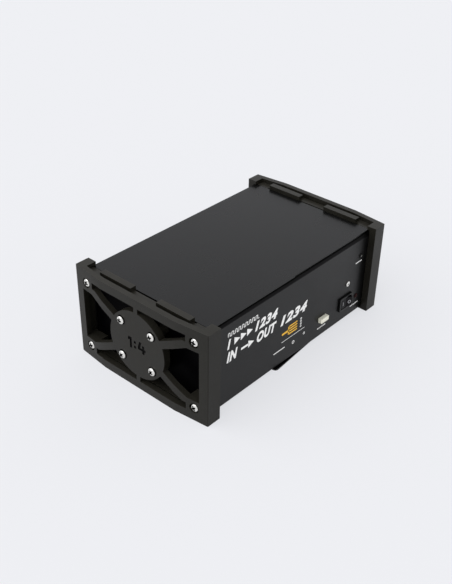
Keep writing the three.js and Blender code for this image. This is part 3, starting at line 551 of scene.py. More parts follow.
def baked(holder):
    """The evaluated mesh of a helper object, which is then removed."""
    graph = bpy.context.evaluated_depsgraph_get()
    mesh = bpy.data.meshes.new_from_object(holder.evaluated_get(graph))
    bpy.data.objects.remove(holder)
    return mesh


def carve(mesh, tool, operation="DIFFERENCE", finishes=()):
    """A mesh cut by or joined to a tool's shape; faces made by the tool keep the tool's finish."""
    holder = add_object("blank", mesh)
    cutter = add_object("blank", blank_mesh(tool, finishes))
    change = holder.modifiers.new("carve", "BOOLEAN")
    change.operation = operation
    change.solver = "EXACT"
    change.material_mode = "TRANSFER"
    change.object = cutter
    result = baked(holder)
    bpy.data.objects.remove(cutter)
    return result


# Solids whose own hard edges are rounded over: finish, slot, body, softness in mm, steps, least angle

SOFT_COPIES = {
    "swivel_plate": ("tray_paint", "case_paint", "plate", 0.3, 2, HARD_ANGLE),
    "end_plate_left": ("plate_painted_shade", "case_paint", CASE, 0.25, 2, HARD_ANGLE),
    "end_plate_right": ("plate_painted_shade", "case_paint", CASE, 0.25, 2, HARD_ANGLE),
    "rocker_housing": ("black_plastic", "black_plastic", CASE, 0.45, 3, HARD_ANGLE),
    "rocker_paddle": ("rocker_plastic_painted_shade", "black_plastic", "rocker", 0.4, 3, 20.0),
    "button_cap": ("cream_plastic", "cream_plastic", "button", 0.5, 3, HARD_ANGLE),
    "fuse_drawer": ("black_plastic", "black_plastic", "drawer", 0.35, 3, HARD_ANGLE),
}


def make_skin(node, bm, finishes, body=CASE):
    """Puts a reworked copy of a node's solid in that node's place."""
    finish_mesh(f"{node}_skin", bm, finishes, body, [node], SKIN_SMOOTH_ANGLE)


def make_soft_copy(node):
    finish, slot, body, softness, steps, least_angle = SOFT_COPIES[node]
    make_skin(node, soften(node_mesh(node), softness * MM, steps, least_angle), [finish], body)


# Case: lid, tray, end plates and what lies inside

SHEET = 1.2 * MM
LID_SOFTNESS = 0.25 * MM
LID_SETBACK_NEAR = 1.7 * MM
LID_SETBACK_FAR = 2.3 * MM
LID_STEP_SHARE = 0.488
JOGGLE_START = 1.25 * SHEET
TRAY_SOFTNESS = 0.2 * MM
BEND_RADIUS = 2.4 * MM
BEND_GAP = 1.45 * MM
BEND_STEPS = 8
LIP_CLEARANCE = 0.2 * MM

INNER_FINISHES = {
    "circuit_board": ("main_board", "supply_board"),
    "black_plastic": ("button_switch",),
    "bright_steel": ("panel_nut", "pivot_bolt", "pivot_washer", "pivot_nut"),
    "nickel_shell": tuple(node for node in frame["nodes"] if "_spacer_" in node),
}


def make_lid():
    """The lid. Its front edge stands back from the panel's bend, further past mid length."""
    low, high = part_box("case_lid")
    under = high[2] - SHEET
    inside = under + SHEET / 2
    behind = low[1] + BEND_RADIUS + LIP_CLEARANCE
    lip_top = under - BEND_GAP - BEND_RADIUS - 2 * LIP_CLEARANCE
    start = low[1] + JOGGLE_START
    joggle = prism([(start, lip_top - SHEET), (behind + SHEET, lip_top - SHEET), (behind + SHEET, inside),
                    (behind, inside), (behind, lip_top), (start, lip_top)],
                   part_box("end_plate_left")[1][0] + CUT_OVERRUN,
                   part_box("end_plate_right")[0][0] - CUT_OVERRUN, ALONG_X)
    whole = carve(blank_mesh(node_mesh("case_lid")), joggle, "UNION")
    left = low[0] - CUT_OVERRUN
    right = high[0] + CUT_OVERRUN
    outside = low[1] - CUT_OVERRUN
    whole = carve(whole, prism(box_outline(left, right, outside, behind), lip_top, under))
    step = low[0] + (high[0] - low[0]) * LID_STEP_SHARE
    near = low[1] + LID_SETBACK_NEAR
    far = low[1] + LID_SETBACK_FAR
    edge = prism([(left, outside), (right, outside), (right, far), (step, far), (step, near), (left, near)],
                 under - LIP_CLEARANCE, high[2] + CUT_OVERRUN)
    lid = soften(merged(carve(whole, edge)), LID_SOFTNESS)
    make_skin("case_lid", lid, ["lid_paint"])


def make_tray():
    """The tray, whose front panel folds back at the top in a round bend under the lid. The bend has a
    darker, nearly unreflecting copy of the tray's paint: painted shade.
    """
    low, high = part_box("case_tray")
    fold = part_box("case_lid")[1][2] - SHEET - BEND_GAP - BEND_RADIUS
    front_wall = box_outline(low[0] - CUT_OVERRUN, high[0] + CUT_OVERRUN, low[1] - CUT_OVERRUN,
                             low[1] + SHEET + CUT_OVERRUN)
    whole = carve(blank_mesh(node_mesh("case_tray"), ["tray_paint"]),
                  prism(front_wall, fold, high[2] + CUT_OVERRUN), finishes=["tray_paint"])
    section = []
    bend = quarter(BEND_STEPS)
    for radius, arc in ((BEND_RADIUS, bend), (BEND_RADIUS - SHEET, bend[::-1])):
        section += [(low[1] + BEND_RADIUS - radius * cosine, fold + radius * sine) for cosine, sine in arc]
    whole = carve(whole, prism(section, low[0], high[0], ALONG_X), "UNION", ["bend_painted_shade"])
    tray = soften(merged(whole), TRAY_SOFTNESS)
    make_skin("case_tray", tray, ["tray_paint", "bend_painted_shade"])


def make_case():
    make_lid()
    make_tray()
    for node in ("swivel_plate", "end_plate_left", "end_plate_right"):
        make_soft_copy(node)
    for finish, nodes in INNER_FINISHES.items():
        for node in nodes:
            mesh = frame["nodes"][node].data
            mesh.materials.clear()
            mesh.materials.append(FINISHES[finish])


# End frames, each with its ways in and out sunk in the hub as plain figures

HUB_FIGURE_HEIGHT = 11.5 * MM
HUB_STROKE = 2.6 * MM
HUB_FIGURES_DEPTH = 0.9 * MM
HUB_FACE = 129.8 * MM
SCREW_GROOVE = (3.3 * MM, 4.7 * MM)
SCREW_GROOVE_DEPTH = 0.9 * MM
FRAME_SOFTNESS = 0.55 * MM


def hub_figures():
    """A 1, a colon and an open 4 in plain strokes, as outlines about the middle of the hub."""
    stroke = HUB_STROKE
    tall = HUB_FIGURE_HEIGHT
    flag = 0.8 * stroke
    one = [(flag, 0), (flag + stroke, 0), (flag + stroke, tall), (0.3 * stroke, tall),
           (0, tall - 0.7 * stroke), (0, tall - 1.6 * stroke), (flag, tall - 1.2 * stroke)]
    colon_left = flag + 2 * stroke
    dots = [[(u + colon_left, v + level * tall) for u, v in box_outline(0, stroke, 0, stroke)]
            for level in (0.14, 0.58)]
    four_left = colon_left + 1.9 * stroke
    wide = 0.82 * tall
    bar = 0.24 * tall
    stem = wide - 1.6 * stroke
    top = 0.48 * wide
    four = [(stem, 0), (stem + stroke, 0), (stem + stroke, bar), (wide, bar), (wide, bar + stroke),
            (stem + stroke, bar + stroke), (stem + stroke, 0.76 * tall), (stem, 0.76 * tall),
            (stem, bar + stroke), (1.1 * stroke, bar + stroke), (top, tall), (top - 1.1 * stroke, tall),
            (0, bar + 0.9 * stroke), (0, bar), (stem, bar)]
    outlines = [one, *dots, [(four_left + u, v) for u, v in four]]
    middle = (four_left + wide) / 2
    return [[(u - middle, v - tall / 2) for u, v in outline] for outline in outlines]


def make_end_frames():
    """Each frame with figures sunk in its hub and a groove round every screw. The cut faces are painted
    darker than the rubber; round each screw this dark ring is painted shade.
    """
    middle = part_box("end_frame_left")[1][2] / 2
    for node, sign in (("end_frame_left", -1), ("end_frame_right", 1)):
        tool = bmesh.new()
        for outline in hub_figures():
            add_prism(tool, outline, -HUB_FIGURES_DEPTH, CUT_OVERRUN,
                      side_place(sign, (sign * HUB_FACE, 0, middle)))
        for seat in screw_seats():
            if seat.axis == (sign, 0, 0):
                add_ring(tool, *SCREW_GROOVE, -SCREW_GROOVE_DEPTH, CUT_OVERRUN,
                         side_place(sign, seat.place))
        body = blank_mesh(soften(node_mesh(node), FRAME_SOFTNESS), ["frame_rubber"])
        sunk = carve(body, tool, finishes=["sunk_dark_and_painted_shade"])
        make_skin(node, gather(sunk), ["frame_rubber", "sunk_dark_and_painted_shade"])


# Screws, made by one Geometry Nodes tree on a cloud of seats

SCREW_SIZES = {
    "Head Radius": 3.9 * MM,
    "Head Height": 2.6 * MM,
    "Rim Height": 0.9 * MM,
    "Shank Radius": 2.0 * MM,
    "Recess Length": 5.2 * MM,
    "Recess Width": 1.6 * MM,
    "Recess Core": 1.6 * MM,
    "Recess Depth": 2.0 * MM,
}
SMALL_SHAPE = {
    "Rim Height": 1.9 * MM,
    "Recess Length": 3.2 * MM,
    "Recess Width": 0.9 * MM,
    "Recess Core": 0.8 * MM,
    "Recess Depth": 1.3 * MM,
}
HEAD_STEPS = 40
BALL_EQUATOR = -0.001
CORE_STEPS = 16
CORE_TIP = 0.1 * MM
SHANK_STEPS = 24
RECESS_TAPER = 0.45
RECESS_STAGGER = 0.04
SCREW_SEED = 7
PANEL_SCREW_SIZE = 0.72
PANEL_SCREW_HEAD = 2.0 * MM
Seat = namedtuple("Seat", "node place axis size reach")


def build_screw_tree():
    """A dome with a tapered cross recess and a shank, on every point along its axis, turned at random."""
    tree = bpy.data.node_groups.new("pan_head_screws", "GeometryNodeTree")
    kinds = {"Seats": "Geometry", **dict.fromkeys(SCREW_SIZES, "Float"), "Seed": "Int",
             "Steel": "Material", "Shade": "Material"}
    for label, kind in kinds.items():
        tree.interface.new_socket(name=label, in_out="INPUT", socket_type=f"NodeSocket{kind}")
    tree.interface.new_socket(name="Screws", in_out="OUTPUT", socket_type="NodeSocketGeometry")
    size = add_node(tree, "NodeGroupInput").outputs

    def times(first, second):
        return math_node(tree, "MULTIPLY", first, second)

    def combine(*values):
        return add_node(tree, "ShaderNodeCombineXYZ", dict(enumerate(values))).outputs[0]

    def reshape(geometry, position):
        return add_node(tree, "GeometryNodeSetPosition", {
            "Geometry": geometry, "Position": position}).outputs[0]

    def shift(geometry, height):
        return add_node(tree, "GeometryNodeTransform", {
            "Geometry": geometry, "Translation": combine(0.0, 0.0, height)}).outputs[0]

    def shaded(geometry):
        return add_node(tree, "GeometryNodeSetMaterial", {
            "Geometry": geometry, "Material": size["Shade"]}).outputs[0]

    def point():
        where = add_node(tree, "GeometryNodeInputPosition").outputs[0]
        return add_node(tree, "ShaderNodeSeparateXYZ", {0: where}).outputs

    def named(label, kind):
        return add_node(tree, "GeometryNodeInputNamedAttribute", {"Name": label},
                        data_type=kind).outputs["Attribute"]

    ball = add_node(tree, "GeometryNodeMeshUVSphere", {
        "Segments": HEAD_STEPS, "Rings": HEAD_STEPS // 2, "Radius": 1.0})
    x, y, z = point()
    above = math_node(tree, "GREATER_THAN", z, BALL_EQUATOR)
    rise = math_node(tree, "SUBTRACT", size["Head Height"], size["Rim Height"])
    dome = math_node(tree, "ADD", times(z, rise), size["Rim Height"])
    head = reshape(ball.outputs["Mesh"], combine(
        times(x, size["Head Radius"]), times(y, size["Head Radius"]), times(dome, above)))

    recess = add_node(tree, "GeometryNodeMeshBoolean", {"Mesh 1": head}, operation="DIFFERENCE")
    depth = times(size["Recess Depth"], 2.0)
    core = add_node(tree, "GeometryNodeMeshCone", {
        "Vertices": CORE_STEPS, "Radius Bottom": CORE_TIP,
        "Radius Top": times(size["Recess Core"], 2.0), "Depth": depth,
    })
    raised = times(size["Recess Depth"], 1 - RECESS_STAGGER)
    sunk = math_node(tree, "SUBTRACT", size["Head Height"], raised)
    feed(tree, recess, {"Mesh 2": shift(shaded(core.outputs["Mesh"]), sunk)})
    wings = ((size["Recess Length"], size["Recess Width"], 1.0),
             (size["Recess Width"], size["Recess Length"], 1 + RECESS_STAGGER))
    for wide, tall, deeper in wings:
        wing = add_node(tree, "GeometryNodeMeshCube", {"Size": combine(wide, tall, times(depth, deeper))})
        x, y, z = point()
        slope = times(math_node(tree, "DIVIDE", z, size["Recess Depth"]), 1 - RECESS_TAPER)
        share = math_node(tree, "ADD", slope, 1.0)
        tapered = reshape(wing.outputs["Mesh"], combine(times(x, share), times(y, share), z))
        feed(tree, recess, {"Mesh 2": shift(shaded(tapered), size["Head Height"])})

    shank = add_node(tree, "GeometryNodeMeshCylinder", {
        "Vertices": SHANK_STEPS, "Depth": 1.0, "Radius": size["Shank Radius"]})
    hung = shift(shank.outputs["Mesh"], -0.5)

    aim = add_node(tree, "FunctionNodeAlignRotationToVector", {"Vector": named("axis", "FLOAT_VECTOR")},
                   axis="Z")
    chance = add_node(tree, "FunctionNodeRandomValue", {3: math.tau, "Seed": size["Seed"]},
                      data_type="FLOAT")
    spin = add_node(tree, "FunctionNodeAxisAngleToRotation", {
        "Axis": (0, 0, 1), "Angle": chance.outputs[1]})
    turn = add_node(tree, "FunctionNodeRotateRotation", {0: aim.outputs[0], 1: spin.outputs[0]},
                    rotation_space="LOCAL")
    scale = named("size", "FLOAT")
    joined = add_node(tree, "GeometryNodeJoinGeometry")
    for part, length in ((recess.outputs["Mesh"], scale), (hung, named("reach", "FLOAT"))):
        copies = add_node(tree, "GeometryNodeInstanceOnPoints", {
            "Points": size["Seats"], "Instance": part, "Rotation": turn.outputs[0],
            "Scale": combine(scale, scale, length),
        })
        feed(tree, joined, {0: copies.outputs[0]})
    whole = add_node(tree, "GeometryNodeRealizeInstances", {0: joined.outputs[0]})
    inside = add_node(tree, "GeometryNodeMaterialSelection", {"Material": size["Shade"]})
    outside = add_node(tree, "FunctionNodeBooleanMath", {0: inside.outputs[0]}, operation="NOT")
    steel = add_node(tree, "GeometryNodeSetMaterial", {
        "Geometry": whole.outputs[0], "Selection": outside.outputs[0], "Material": size["Steel"]})
    add_node(tree, "NodeGroupOutput", {0: steel.outputs[0]})
    return tree


def grow(tree, points, attributes, values):
    """Runs a Geometry Nodes tree on a cloud of points and gives the plain mesh."""
    mesh = bpy.data.meshes.new("seats")
    mesh.from_pydata(points, [], [])
    for label, (kind, data) in attributes.items():
        layer = mesh.attributes.new(label, kind, "POINT")
        for entry, value in zip(layer.data, data):
            setattr(entry, "vector" if kind == "FLOAT_VECTOR" else "value", value)
    holder = add_object("seats", mesh)
    change = holder.modifiers.new("grow", "NODES")
    change.node_group = tree
    for item in tree.interface.items_tree:
        if item.item_type == "SOCKET" and item.in_out == "INPUT" and item.name in values:
            change[item.identifier] = values[item.name]
    return baked(holder)


def screw_seats():
    """Where each screw sits: the point under its head, the way it faces, its size and its reach."""
    head = SCREW_SIZES["Head Height"]
    seats = []
    for node in frame["nodes"]:
        low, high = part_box(node)
        middle = [(low[axis] + high[axis]) / 2 for axis in range(3)]
        if node.startswith(("hub_screw_", "corner_screw_")):
            sign = -1 if "_left_" in node else 1
            tip = low[0] if sign < 0 else high[0]
            seats.append(Seat(node, (tip - sign * head, middle[1], middle[2]), (sign, 0, 0), 1.0,
                              high[0] - low[0] - head))
        elif node == "panel_screw":
            seats.append(Seat(node, (middle[0], low[1] + PANEL_SCREW_HEAD, middle[2]), (0, -1, 0),
                              PANEL_SCREW_SIZE, high[1] - low[1] - PANEL_SCREW_HEAD))
        elif node.endswith("_socket") or "_socket_" in node:
            for side in (1, -1):
                place = (middle[0] + side * FLANGE_SCREW[0], high[1] - FLANGE_SCREW_SINK,
                         middle[2] + side * FLANGE_SCREW[1])
                seats.append(Seat(None, place, (0, 1, 0), PANEL_SCREW_SIZE, FLANGE_SCREW_REACH))
    return seats


def make_screws():
    """The end frames' screws in one piece, and the small ones of the panel and the sockets in another."""
    tree = build_screw_tree()
    for name, sizes, small in (("frame_screws", SCREW_SIZES, False),
                               ("small_screws", {**SCREW_SIZES, **SMALL_SHAPE}, True)):
        chosen = [seat for seat in screw_seats() if (seat.size == PANEL_SCREW_SIZE) == small]
        mesh = grow(tree, [seat.place for seat in chosen], {
            "axis": ("FLOAT_VECTOR", [seat.axis for seat in chosen]),
            "size": ("FLOAT", [seat.size for seat in chosen]),
            "reach": ("FLOAT", [seat.reach for seat in chosen]),
        }, {**sizes, "Seed": SCREW_SEED, "Steel": FINISHES["bright_steel"],
            "Shade": FINISHES["recess_painted_shade"]})
        finishes = ["recess_painted_shade" if material == FINISHES["recess_painted_shade"] else "bright_steel"
                    for material in mesh.materials]
        finish_mesh(name, gather(mesh), finishes, CASE,
                    [seat.node for seat in chosen if seat.node])


# Control panel: rocker, button and lamps

LAMP_RADIUS = 2.5 * MM
LAMP_PROUD = 1.5 * MM
LAMP_TIP_SHARE = 0.07
LAMP_DEPTH = 6.2 * MM
LAMP_FLANGE = 0.6 * MM
LAMP_FLANGE_TOP = 1 * MM - LAMP_DEPTH
LAMP_DOME_STEPS = 10
LAMP_STEPS = 40
ROCKER_TILT = math.radians(11)
ROCKER_FACE = 2.7 * MM
ROCKER_MARGIN = 2.3 * MM
ROCKER_MARK_TALL = 4.2 * MM
ROCKER_MARK_WIDTH = 0.8 * MM
ROCKER_MARK_RADIUS = 1.9 * MM
MARK_THICKNESS = 0.08 * MM
MARK_SINK = 0.03 * MM
MARK_LEVELS = (-MARK_SINK, MARK_THICKNESS)


def make_rocker_marks():
    """A bar on one half of the rocker's tipped face and a ring on the other."""
    low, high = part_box("rocker_housing")
    joints = frame["record"]["behaviour"]["joints"]
    pivot = Vector(next(joint["pos_m"] for joint in joints if joint["name"] == "rocker_turn"))
    reach = (high[0] - low[0]) / 2 - ROCKER_MARGIN
    turn = Matrix.Rotation(-ROCKER_TILT, 3, "Z")
    marks = bmesh.new()
    for side in (1, -1):
        u = turn @ Vector((side * math.cos(ROCKER_TILT), -math.sin(ROCKER_TILT), 0)) * side
        w = Vector((0, 0, 1)).cross(u) * -1
        centre = turn @ Vector((side * reach / 2, -ROCKER_FACE - reach / 2 * math.tan(ROCKER_TILT), 0))
        place = face_place(u, (0, 0, 1), w, pivot + centre)
        if side < 0:
            bar = bar_outline((0, -ROCKER_MARK_TALL / 2), (0, ROCKER_MARK_TALL / 2), ROCKER_MARK_WIDTH)
            add_prism(marks, bar, *MARK_LEVELS, place)
        else:
            add_ring(marks, ROCKER_MARK_RADIUS - ROCKER_MARK_WIDTH, ROCKER_MARK_RADIUS, *MARK_LEVELS, place)
    finish_mesh("rocker_marks", outward(marks), ["grey_ink"], "rocker")


def make_lamp(node, finish, tip=None):
    """A domed lens with its flange behind the panel. Its tip may have a finish of its own, which on the
    signal lamp is a grey painted highlight.
    """
    low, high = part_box(node)
    flange = LAMP_RADIUS + LAMP_FLANGE
    profile = [(0, -LAMP_DEPTH), (flange, -LAMP_DEPTH), (flange, LAMP_FLANGE_TOP),
               (LAMP_RADIUS, LAMP_FLANGE_TOP)]
    dome = quarter(LAMP_DOME_STEPS)[:-1]
    profile += [*((LAMP_RADIUS * cosine, LAMP_PROUD * sine) for cosine, sine in dome), (0, LAMP_PROUD)]
    place = panel_place((low[0] + high[0]) / 2, (low[2] + high[2]) / 2)
    bm = outward(add_turned(bmesh.new(), profile, place, LAMP_STEPS))
    # Faces at the crown take the tip finish, a painted highlight where one is given.
    crown = low[1] + LAMP_PROUD * LAMP_TIP_SHARE
    for face in bm.faces:
        if face.calc_center_median().y < crown:
            face.material_index = 1
    finish_mesh(f"{node}_lens", bm, [finish, tip or finish], CASE, [node])


def make_panel_fittings():
    make_soft_copy("rocker_housing")
    make_soft_copy("rocker_paddle")
    make_rocker_marks()
    make_soft_copy("button_cap")
    make_lamp("power_led", "red_lens")
    make_lamp("signal_led", "smoke_lens", "lens_tip_painted_highlight")


# Printed marks, in mm. Only figures and plain signs: one way in, four ways out.

LETTER_SPACING = 1.12
LETTER_STEPS = 6
LETTER_MERGE = 0.0005
PRINT_BOLD = 0.045
PRINT_SLANT = 0.28
REAR_BOLD = 0.02
DASH_SHARE = 0.68
ROW_TOP = (59.8, 69.8)
ROW_LOW = (46.0, 56.6)
ARROW_START = -85.5
ARROW_PITCH = 8.2
FORK_LEVELS = [31.4 + branch * 2.8 for branch in range(4)]
FORK_LEFT = -9.5

# Words with their left and right ends and their row
PRINT_WORDS = (("1", -94.5, -90.0, ROW_TOP), ("1234", -58.5, -27.5, ROW_TOP), ("IN", -95.0, -81.0, ROW_LOW),
               ("OUT", -55.5, -28.5, ROW_LOW), ("1234", -22.5, 16.8, ROW_LOW))
# Arrow heads: u, v and length
PRINT_ARROWS = (*((ARROW_START + arrow * ARROW_PITCH, 64.8, 7.4) for arrow in range(3)), (-67.0, 51.3, 7.6))
# Level bars: start, stop, height and thickness
PRINT_BARS = ((-76.5, -66.5, 51.3, 2.2), (-19.2, 15.0, 26.8, 0.55), (-30.4, -14.0, 19.4, 1.0))
# Rings: u, v, inner and outer radius
PRINT_RINGS = (*((8.6, level, 0.55, 1.1) for level in FORK_LEVELS), (-1.4, 18.2, 1.1, 1.8),
               (14.8, 20.0, 0.8, 1.4))
# Rows of dashes in place of small words: start, stop, height, thickness and count
PRINT_DASHES = ((36.6, 50.2, 12.7, 1.3, 6), (90.8, 105.0, 12.3, 1.3, 6), (93.1, 103.7, 61.2, 1.2, 5))
# A signal drawn as pulses: start, stop, low, high, thickness and count
PRINT_PULSES = (-93.5, -53.5, 72.6, 76.2, 0.75, 9)
# Words below the sockets: node, words, half width, low and high
REAR_WORDS = (*((f"output_socket_{way}", str(way), 0.55 if way == 1 else 1.4, -20.6, -17.0)
                for way in range(1, 5)),
              ("input_socket", "IN", 2.2, -20.2, -17.2), ("link_socket", "OUT", 4.0, -20.2, -17.2))


def in_mm(*values):
    return tuple(value * MM for value in values)


def add_text(bm, words, box, place, bold, slant=0.0):
    """Figures in the plain built-in letter that fill a box (left, right, low, high) of a drawing."""
    curve = bpy.data.curves.new("figures", "FONT")
    curve.body = words
    curve.offset = bold
    curve.shear = slant
    curve.extrude = 0.5
    curve.space_character = LETTER_SPACING
    curve.resolution_u = LETTER_STEPS
    mesh = baked(add_object("figures", curve))
    figures = gather(mesh)
    bmesh.ops.remove_doubles(figures, verts=figures.verts, dist=LETTER_MERGE)
    left, right, low, high = in_mm(*box)
    wanted = ((left, right), (low, high), MARK_LEVELS)
    spans = [(min(v.co[axis] for v in figures.verts), max(v.co[axis] for v in figures.verts))
             for axis in range(3)]
    for vertex in figures.verts:
        where = []
        for value, (least, most), (start, stop) in zip(vertex.co, spans, wanted):
            where.append(start + (value - least) / (most - least) * (stop - start))
        vertex.co = place @ Vector(where)
    outward(figures).to_mesh(mesh)
    figures.free()
    bm.from_mesh(mesh)
    bpy.data.meshes.remove(mesh)


def add_bar(bm, start, stop, thickness, place):
    add_prism(bm, bar_outline(in_mm(*start), in_mm(*stop), thickness * MM), *MARK_LEVELS, place)


def add_arrow(bm, u, v, length, place):
    """A solid arrow head that points along U."""
    outline = ((u, v - length / 2), (u + length, v), (u, v + length / 2))
    add_prism(bm, [in_mm(*point) for point in outline], *MARK_LEVELS, place)


def add_pulses(bm, start, stop, low, high, thickness, count, place):
    pitch = (stop - start) / count
    points = []
    for pulse in range(count):
        left = start + pulse * pitch
        points += [(left, low), (left, high), (left + pitch / 2, high), (left + pitch / 2, low)]
    points.append((stop, low))
    for first, second in zip(points, points[1:]):
        add_bar(bm, first, second, thickness, place)


def add_dashes(bm, start, stop, level, thickness, count, place):
    pitch = (stop - start) / count
    for dash in range(count):
        left = start + dash * pitch
        add_bar(bm, (left, level), (left + pitch * DASH_SHARE, level), thickness, place)


def make_panel_print():
    place = panel_place()
    white = bmesh.new()
    add_pulses(white, *PRINT_PULSES, place)
    for words, left, right, row in PRINT_WORDS:
        add_text(white, words, (left, right, *row), place, PRINT_BOLD, PRINT_SLANT)
    for arrow in PRINT_ARROWS:
        add_arrow(white, *arrow, place)
    for start, stop, level, thickness in PRINT_BARS:
        add_bar(white, (start, level), (stop, level), thickness, place)
    for u, v, inner, outer in PRINT_RINGS:
        add_ring(white, *in_mm(inner, outer), *MARK_LEVELS, place, centre=in_mm(u, v))
    for row in PRINT_DASHES:
        add_dashes(white, *row, place)
    finish_mesh("panel_print_white", outward(white), ["white_ink"])
    yellow = bmesh.new()
    add_bar(yellow, (-19.4, 35.6), (FORK_LEFT, 35.6), 2.2, place)
    add_bar(yellow, (FORK_LEFT, FORK_LEVELS[0]), (FORK_LEFT, FORK_LEVELS[-1]), 2.0, place)
    for level in FORK_LEVELS:
        add_bar(yellow, (FORK_LEFT, level), (1.5, level), 1.4, place)
        add_arrow(yellow, 1.0, level, 2.6, place)
    finish_mesh("panel_print_yellow", outward(yellow), ["yellow_ink"])


# Rear connectors, drawn with the flange standing on the rear face

FLANGE = (26 * MM, 31 * MM)
FLANGE_ROUND = 3 * MM
FLANGE_SEAT = 0.1 * MM
FLANGE_THICKNESS = 2.3 * MM
FLANGE_SOFTNESS = 0.35 * MM
COLLAR_TOP = 3.0 * MM
COLLAR_RADIUS = 12.4 * MM
COLLAR_RISE = 0.2 * MM
SHELL_RADIUS = 11.8 * MM
SHELL_DEPTH = 18 * MM
SHELL_CHAMFER = 0.6 * MM
SHELL_STEPS = 64
RIM_ROUND = 0.5 * MM
BORE_RADIUS = 9.8 * MM
BORE_FLOOR = -10 * MM
BORE_FLARE = 0.4 * MM
BORE_BOTTOM = BORE_FLOOR - MARK_SINK
INSERT_RADIUS = 7.9 * MM
INSERT_TOP = 1.8 * MM
INSERT_STEPS = 56
KEY_GROOVE = (-1.1, 1.1, -8.6, -6.9)
PLUG_BORE_RADIUS = 8.1 * MM
PLUG_FLOOR_RADIUS = PLUG_BORE_RADIUS - 0.05 * MM
PLUG_FLOOR_TOP = BORE_FLOOR + 1.2 * MM
PIN_RADIUS = 1.2 * MM
PIN_TOP = 1.0 * MM
PIN_ROUND = 0.9 * MM
CONTACT_CIRCLE = 4.9 * MM
CONTACT_SHARES = (1 / 10, 4 / 10, 3 / 4)
CONTACT_STEPS = 24
SLEEVE_RADIUS = 1.6 * MM
SLEEVE_BORE = 1.2 * MM
SLEEVE_DEPTH = 7 * MM
SLEEVE_SINK = 0.8 * MM
SLEEVE_PLAY = 0.05 * MM
SLEEVE_FLARE = 0.3 * MM
LATCH_SLOT = (-4.8, 4.8, 9.9, 14.1)
LATCH_SLOT_FLOOR = 0.5 * MM
LATCH_RIBS = 3
LATCH_RIB = 0.35 * MM
LATCH_SOFTNESS = 0.15 * MM
LATCH_HARD_ANGLE = 25.0
FLANGE_SCREW = (9.5 * MM, 12.0 * MM)
FLANGE_SCREW_SINK = COLLAR_TOP - FLANGE_THICKNESS
FLANGE_SCREW_REACH = 2.2 * MM
FLANGE_SCREW_HOLE = 1.6 * MM


def at_contacts(profile, ring=False):
    """A profile turned about the axis of each of the three contacts."""
    bm = bmesh.new()
    for share in CONTACT_SHARES:
        angle = share * math.tau
        centre = (CONTACT_CIRCLE * math.cos(angle), CONTACT_CIRCLE * math.sin(angle))
        add_turned(bm, profile, steps=CONTACT_STEPS, centre=centre, ring=ring)
    return bm


def soft_rim(radius, top, round_over, steps=4):
    """The end of a profile: a rim rounded over at the top, up to the axis."""
    points = [(radius - round_over * (1 - cosine), top - round_over * (1 - sine))
              for cosine, sine in quarter(steps)]
    return [*points, (0, top)]


def socket_shell_mesh(male):
    """Flange, collar and barrel in one, with its bore, latch slot and screw holes cut."""
    top = COLLAR_TOP + CUT_OVERRUN
    flange = prism(rounded_outline(*FLANGE, FLANGE_ROUND), FLANGE_SEAT, FLANGE_THICKNESS)
    barrel = turned([(0, -SHELL_DEPTH), (SHELL_RADIUS - SHELL_CHAMFER, -SHELL_DEPTH),
                     (SHELL_RADIUS, SHELL_CHAMFER - SHELL_DEPTH), (SHELL_RADIUS, 0),
                     (COLLAR_RADIUS, COLLAR_RISE), *soft_rim(COLLAR_RADIUS, COLLAR_TOP, RIM_ROUND)],
                    SHELL_STEPS)
    whole = carve(blank_mesh(soften(flange, FLANGE_SOFTNESS, 3)), barrel, "UNION")
    bore = PLUG_BORE_RADIUS if male else BORE_RADIUS
    whole = carve(whole, turned([(0, BORE_FLOOR), (bore, BORE_FLOOR), (bore, COLLAR_TOP - BORE_FLARE),
                                 (bore + BORE_FLARE + CUT_OVERRUN, top), (0, top)], SHELL_STEPS))
    holes = bmesh.new()
    for side in (1, -1):
        add_turned(holes, [(0, -CUT_OVERRUN), (FLANGE_SCREW_HOLE, -CUT_OVERRUN), (FLANGE_SCREW_HOLE, top),
                           (0, top)],
                   steps=CONTACT_STEPS, centre=(-side * FLANGE_SCREW[0], side * FLANGE_SCREW[1]))
    whole = carve(whole, holes)
    if male:
        return whole
    return carve(whole, prism(box_outline(*in_mm(*LATCH_SLOT)), LATCH_SLOT_FLOOR, top))


def insert_mesh():
    """The black core of a female socket, with a hole for each contact and a key groove."""
    top = INSERT_TOP + CUT_OVERRUN
    bottom = INSERT_TOP - SLEEVE_DEPTH
    core = turned([(0, BORE_BOTTOM), (INSERT_RADIUS, BORE_BOTTOM),
                   *soft_rim(INSERT_RADIUS, INSERT_TOP, RIM_ROUND)], INSERT_STEPS)
    holes = at_contacts([(0, bottom), (SLEEVE_RADIUS, bottom), (SLEEVE_RADIUS, INSERT_TOP - SLEEVE_FLARE),
                         (SLEEVE_RADIUS + SLEEVE_FLARE + CUT_OVERRUN, top), (0, top)])
    groove = prism(box_outline(*in_mm(*KEY_GROOVE)), BORE_FLOOR + CUT_OVERRUN, top)
    return carve(carve(blank_mesh(core), holes), groove)


def sleeve_mesh():
    """Three plain contact sleeves that stand in the holes of the insert."""
    top = INSERT_TOP - SLEEVE_SINK
    bottom = top - SLEEVE_DEPTH / 2
    outer = SLEEVE_RADIUS - SLEEVE_PLAY
    wall = [(SLEEVE_BORE, bottom), (outer, bottom), (outer, top), (SLEEVE_BORE, top)]
    return blank_mesh(at_contacts(wall, ring=True))


def pin_mesh():
    """Three pins with rounded tips."""
    return blank_mesh(at_contacts([(0, BORE_BOTTOM), (PIN_RADIUS, BORE_BOTTOM),
                                   *soft_rim(PIN_RADIUS, PIN_TOP, PIN_ROUND)]))


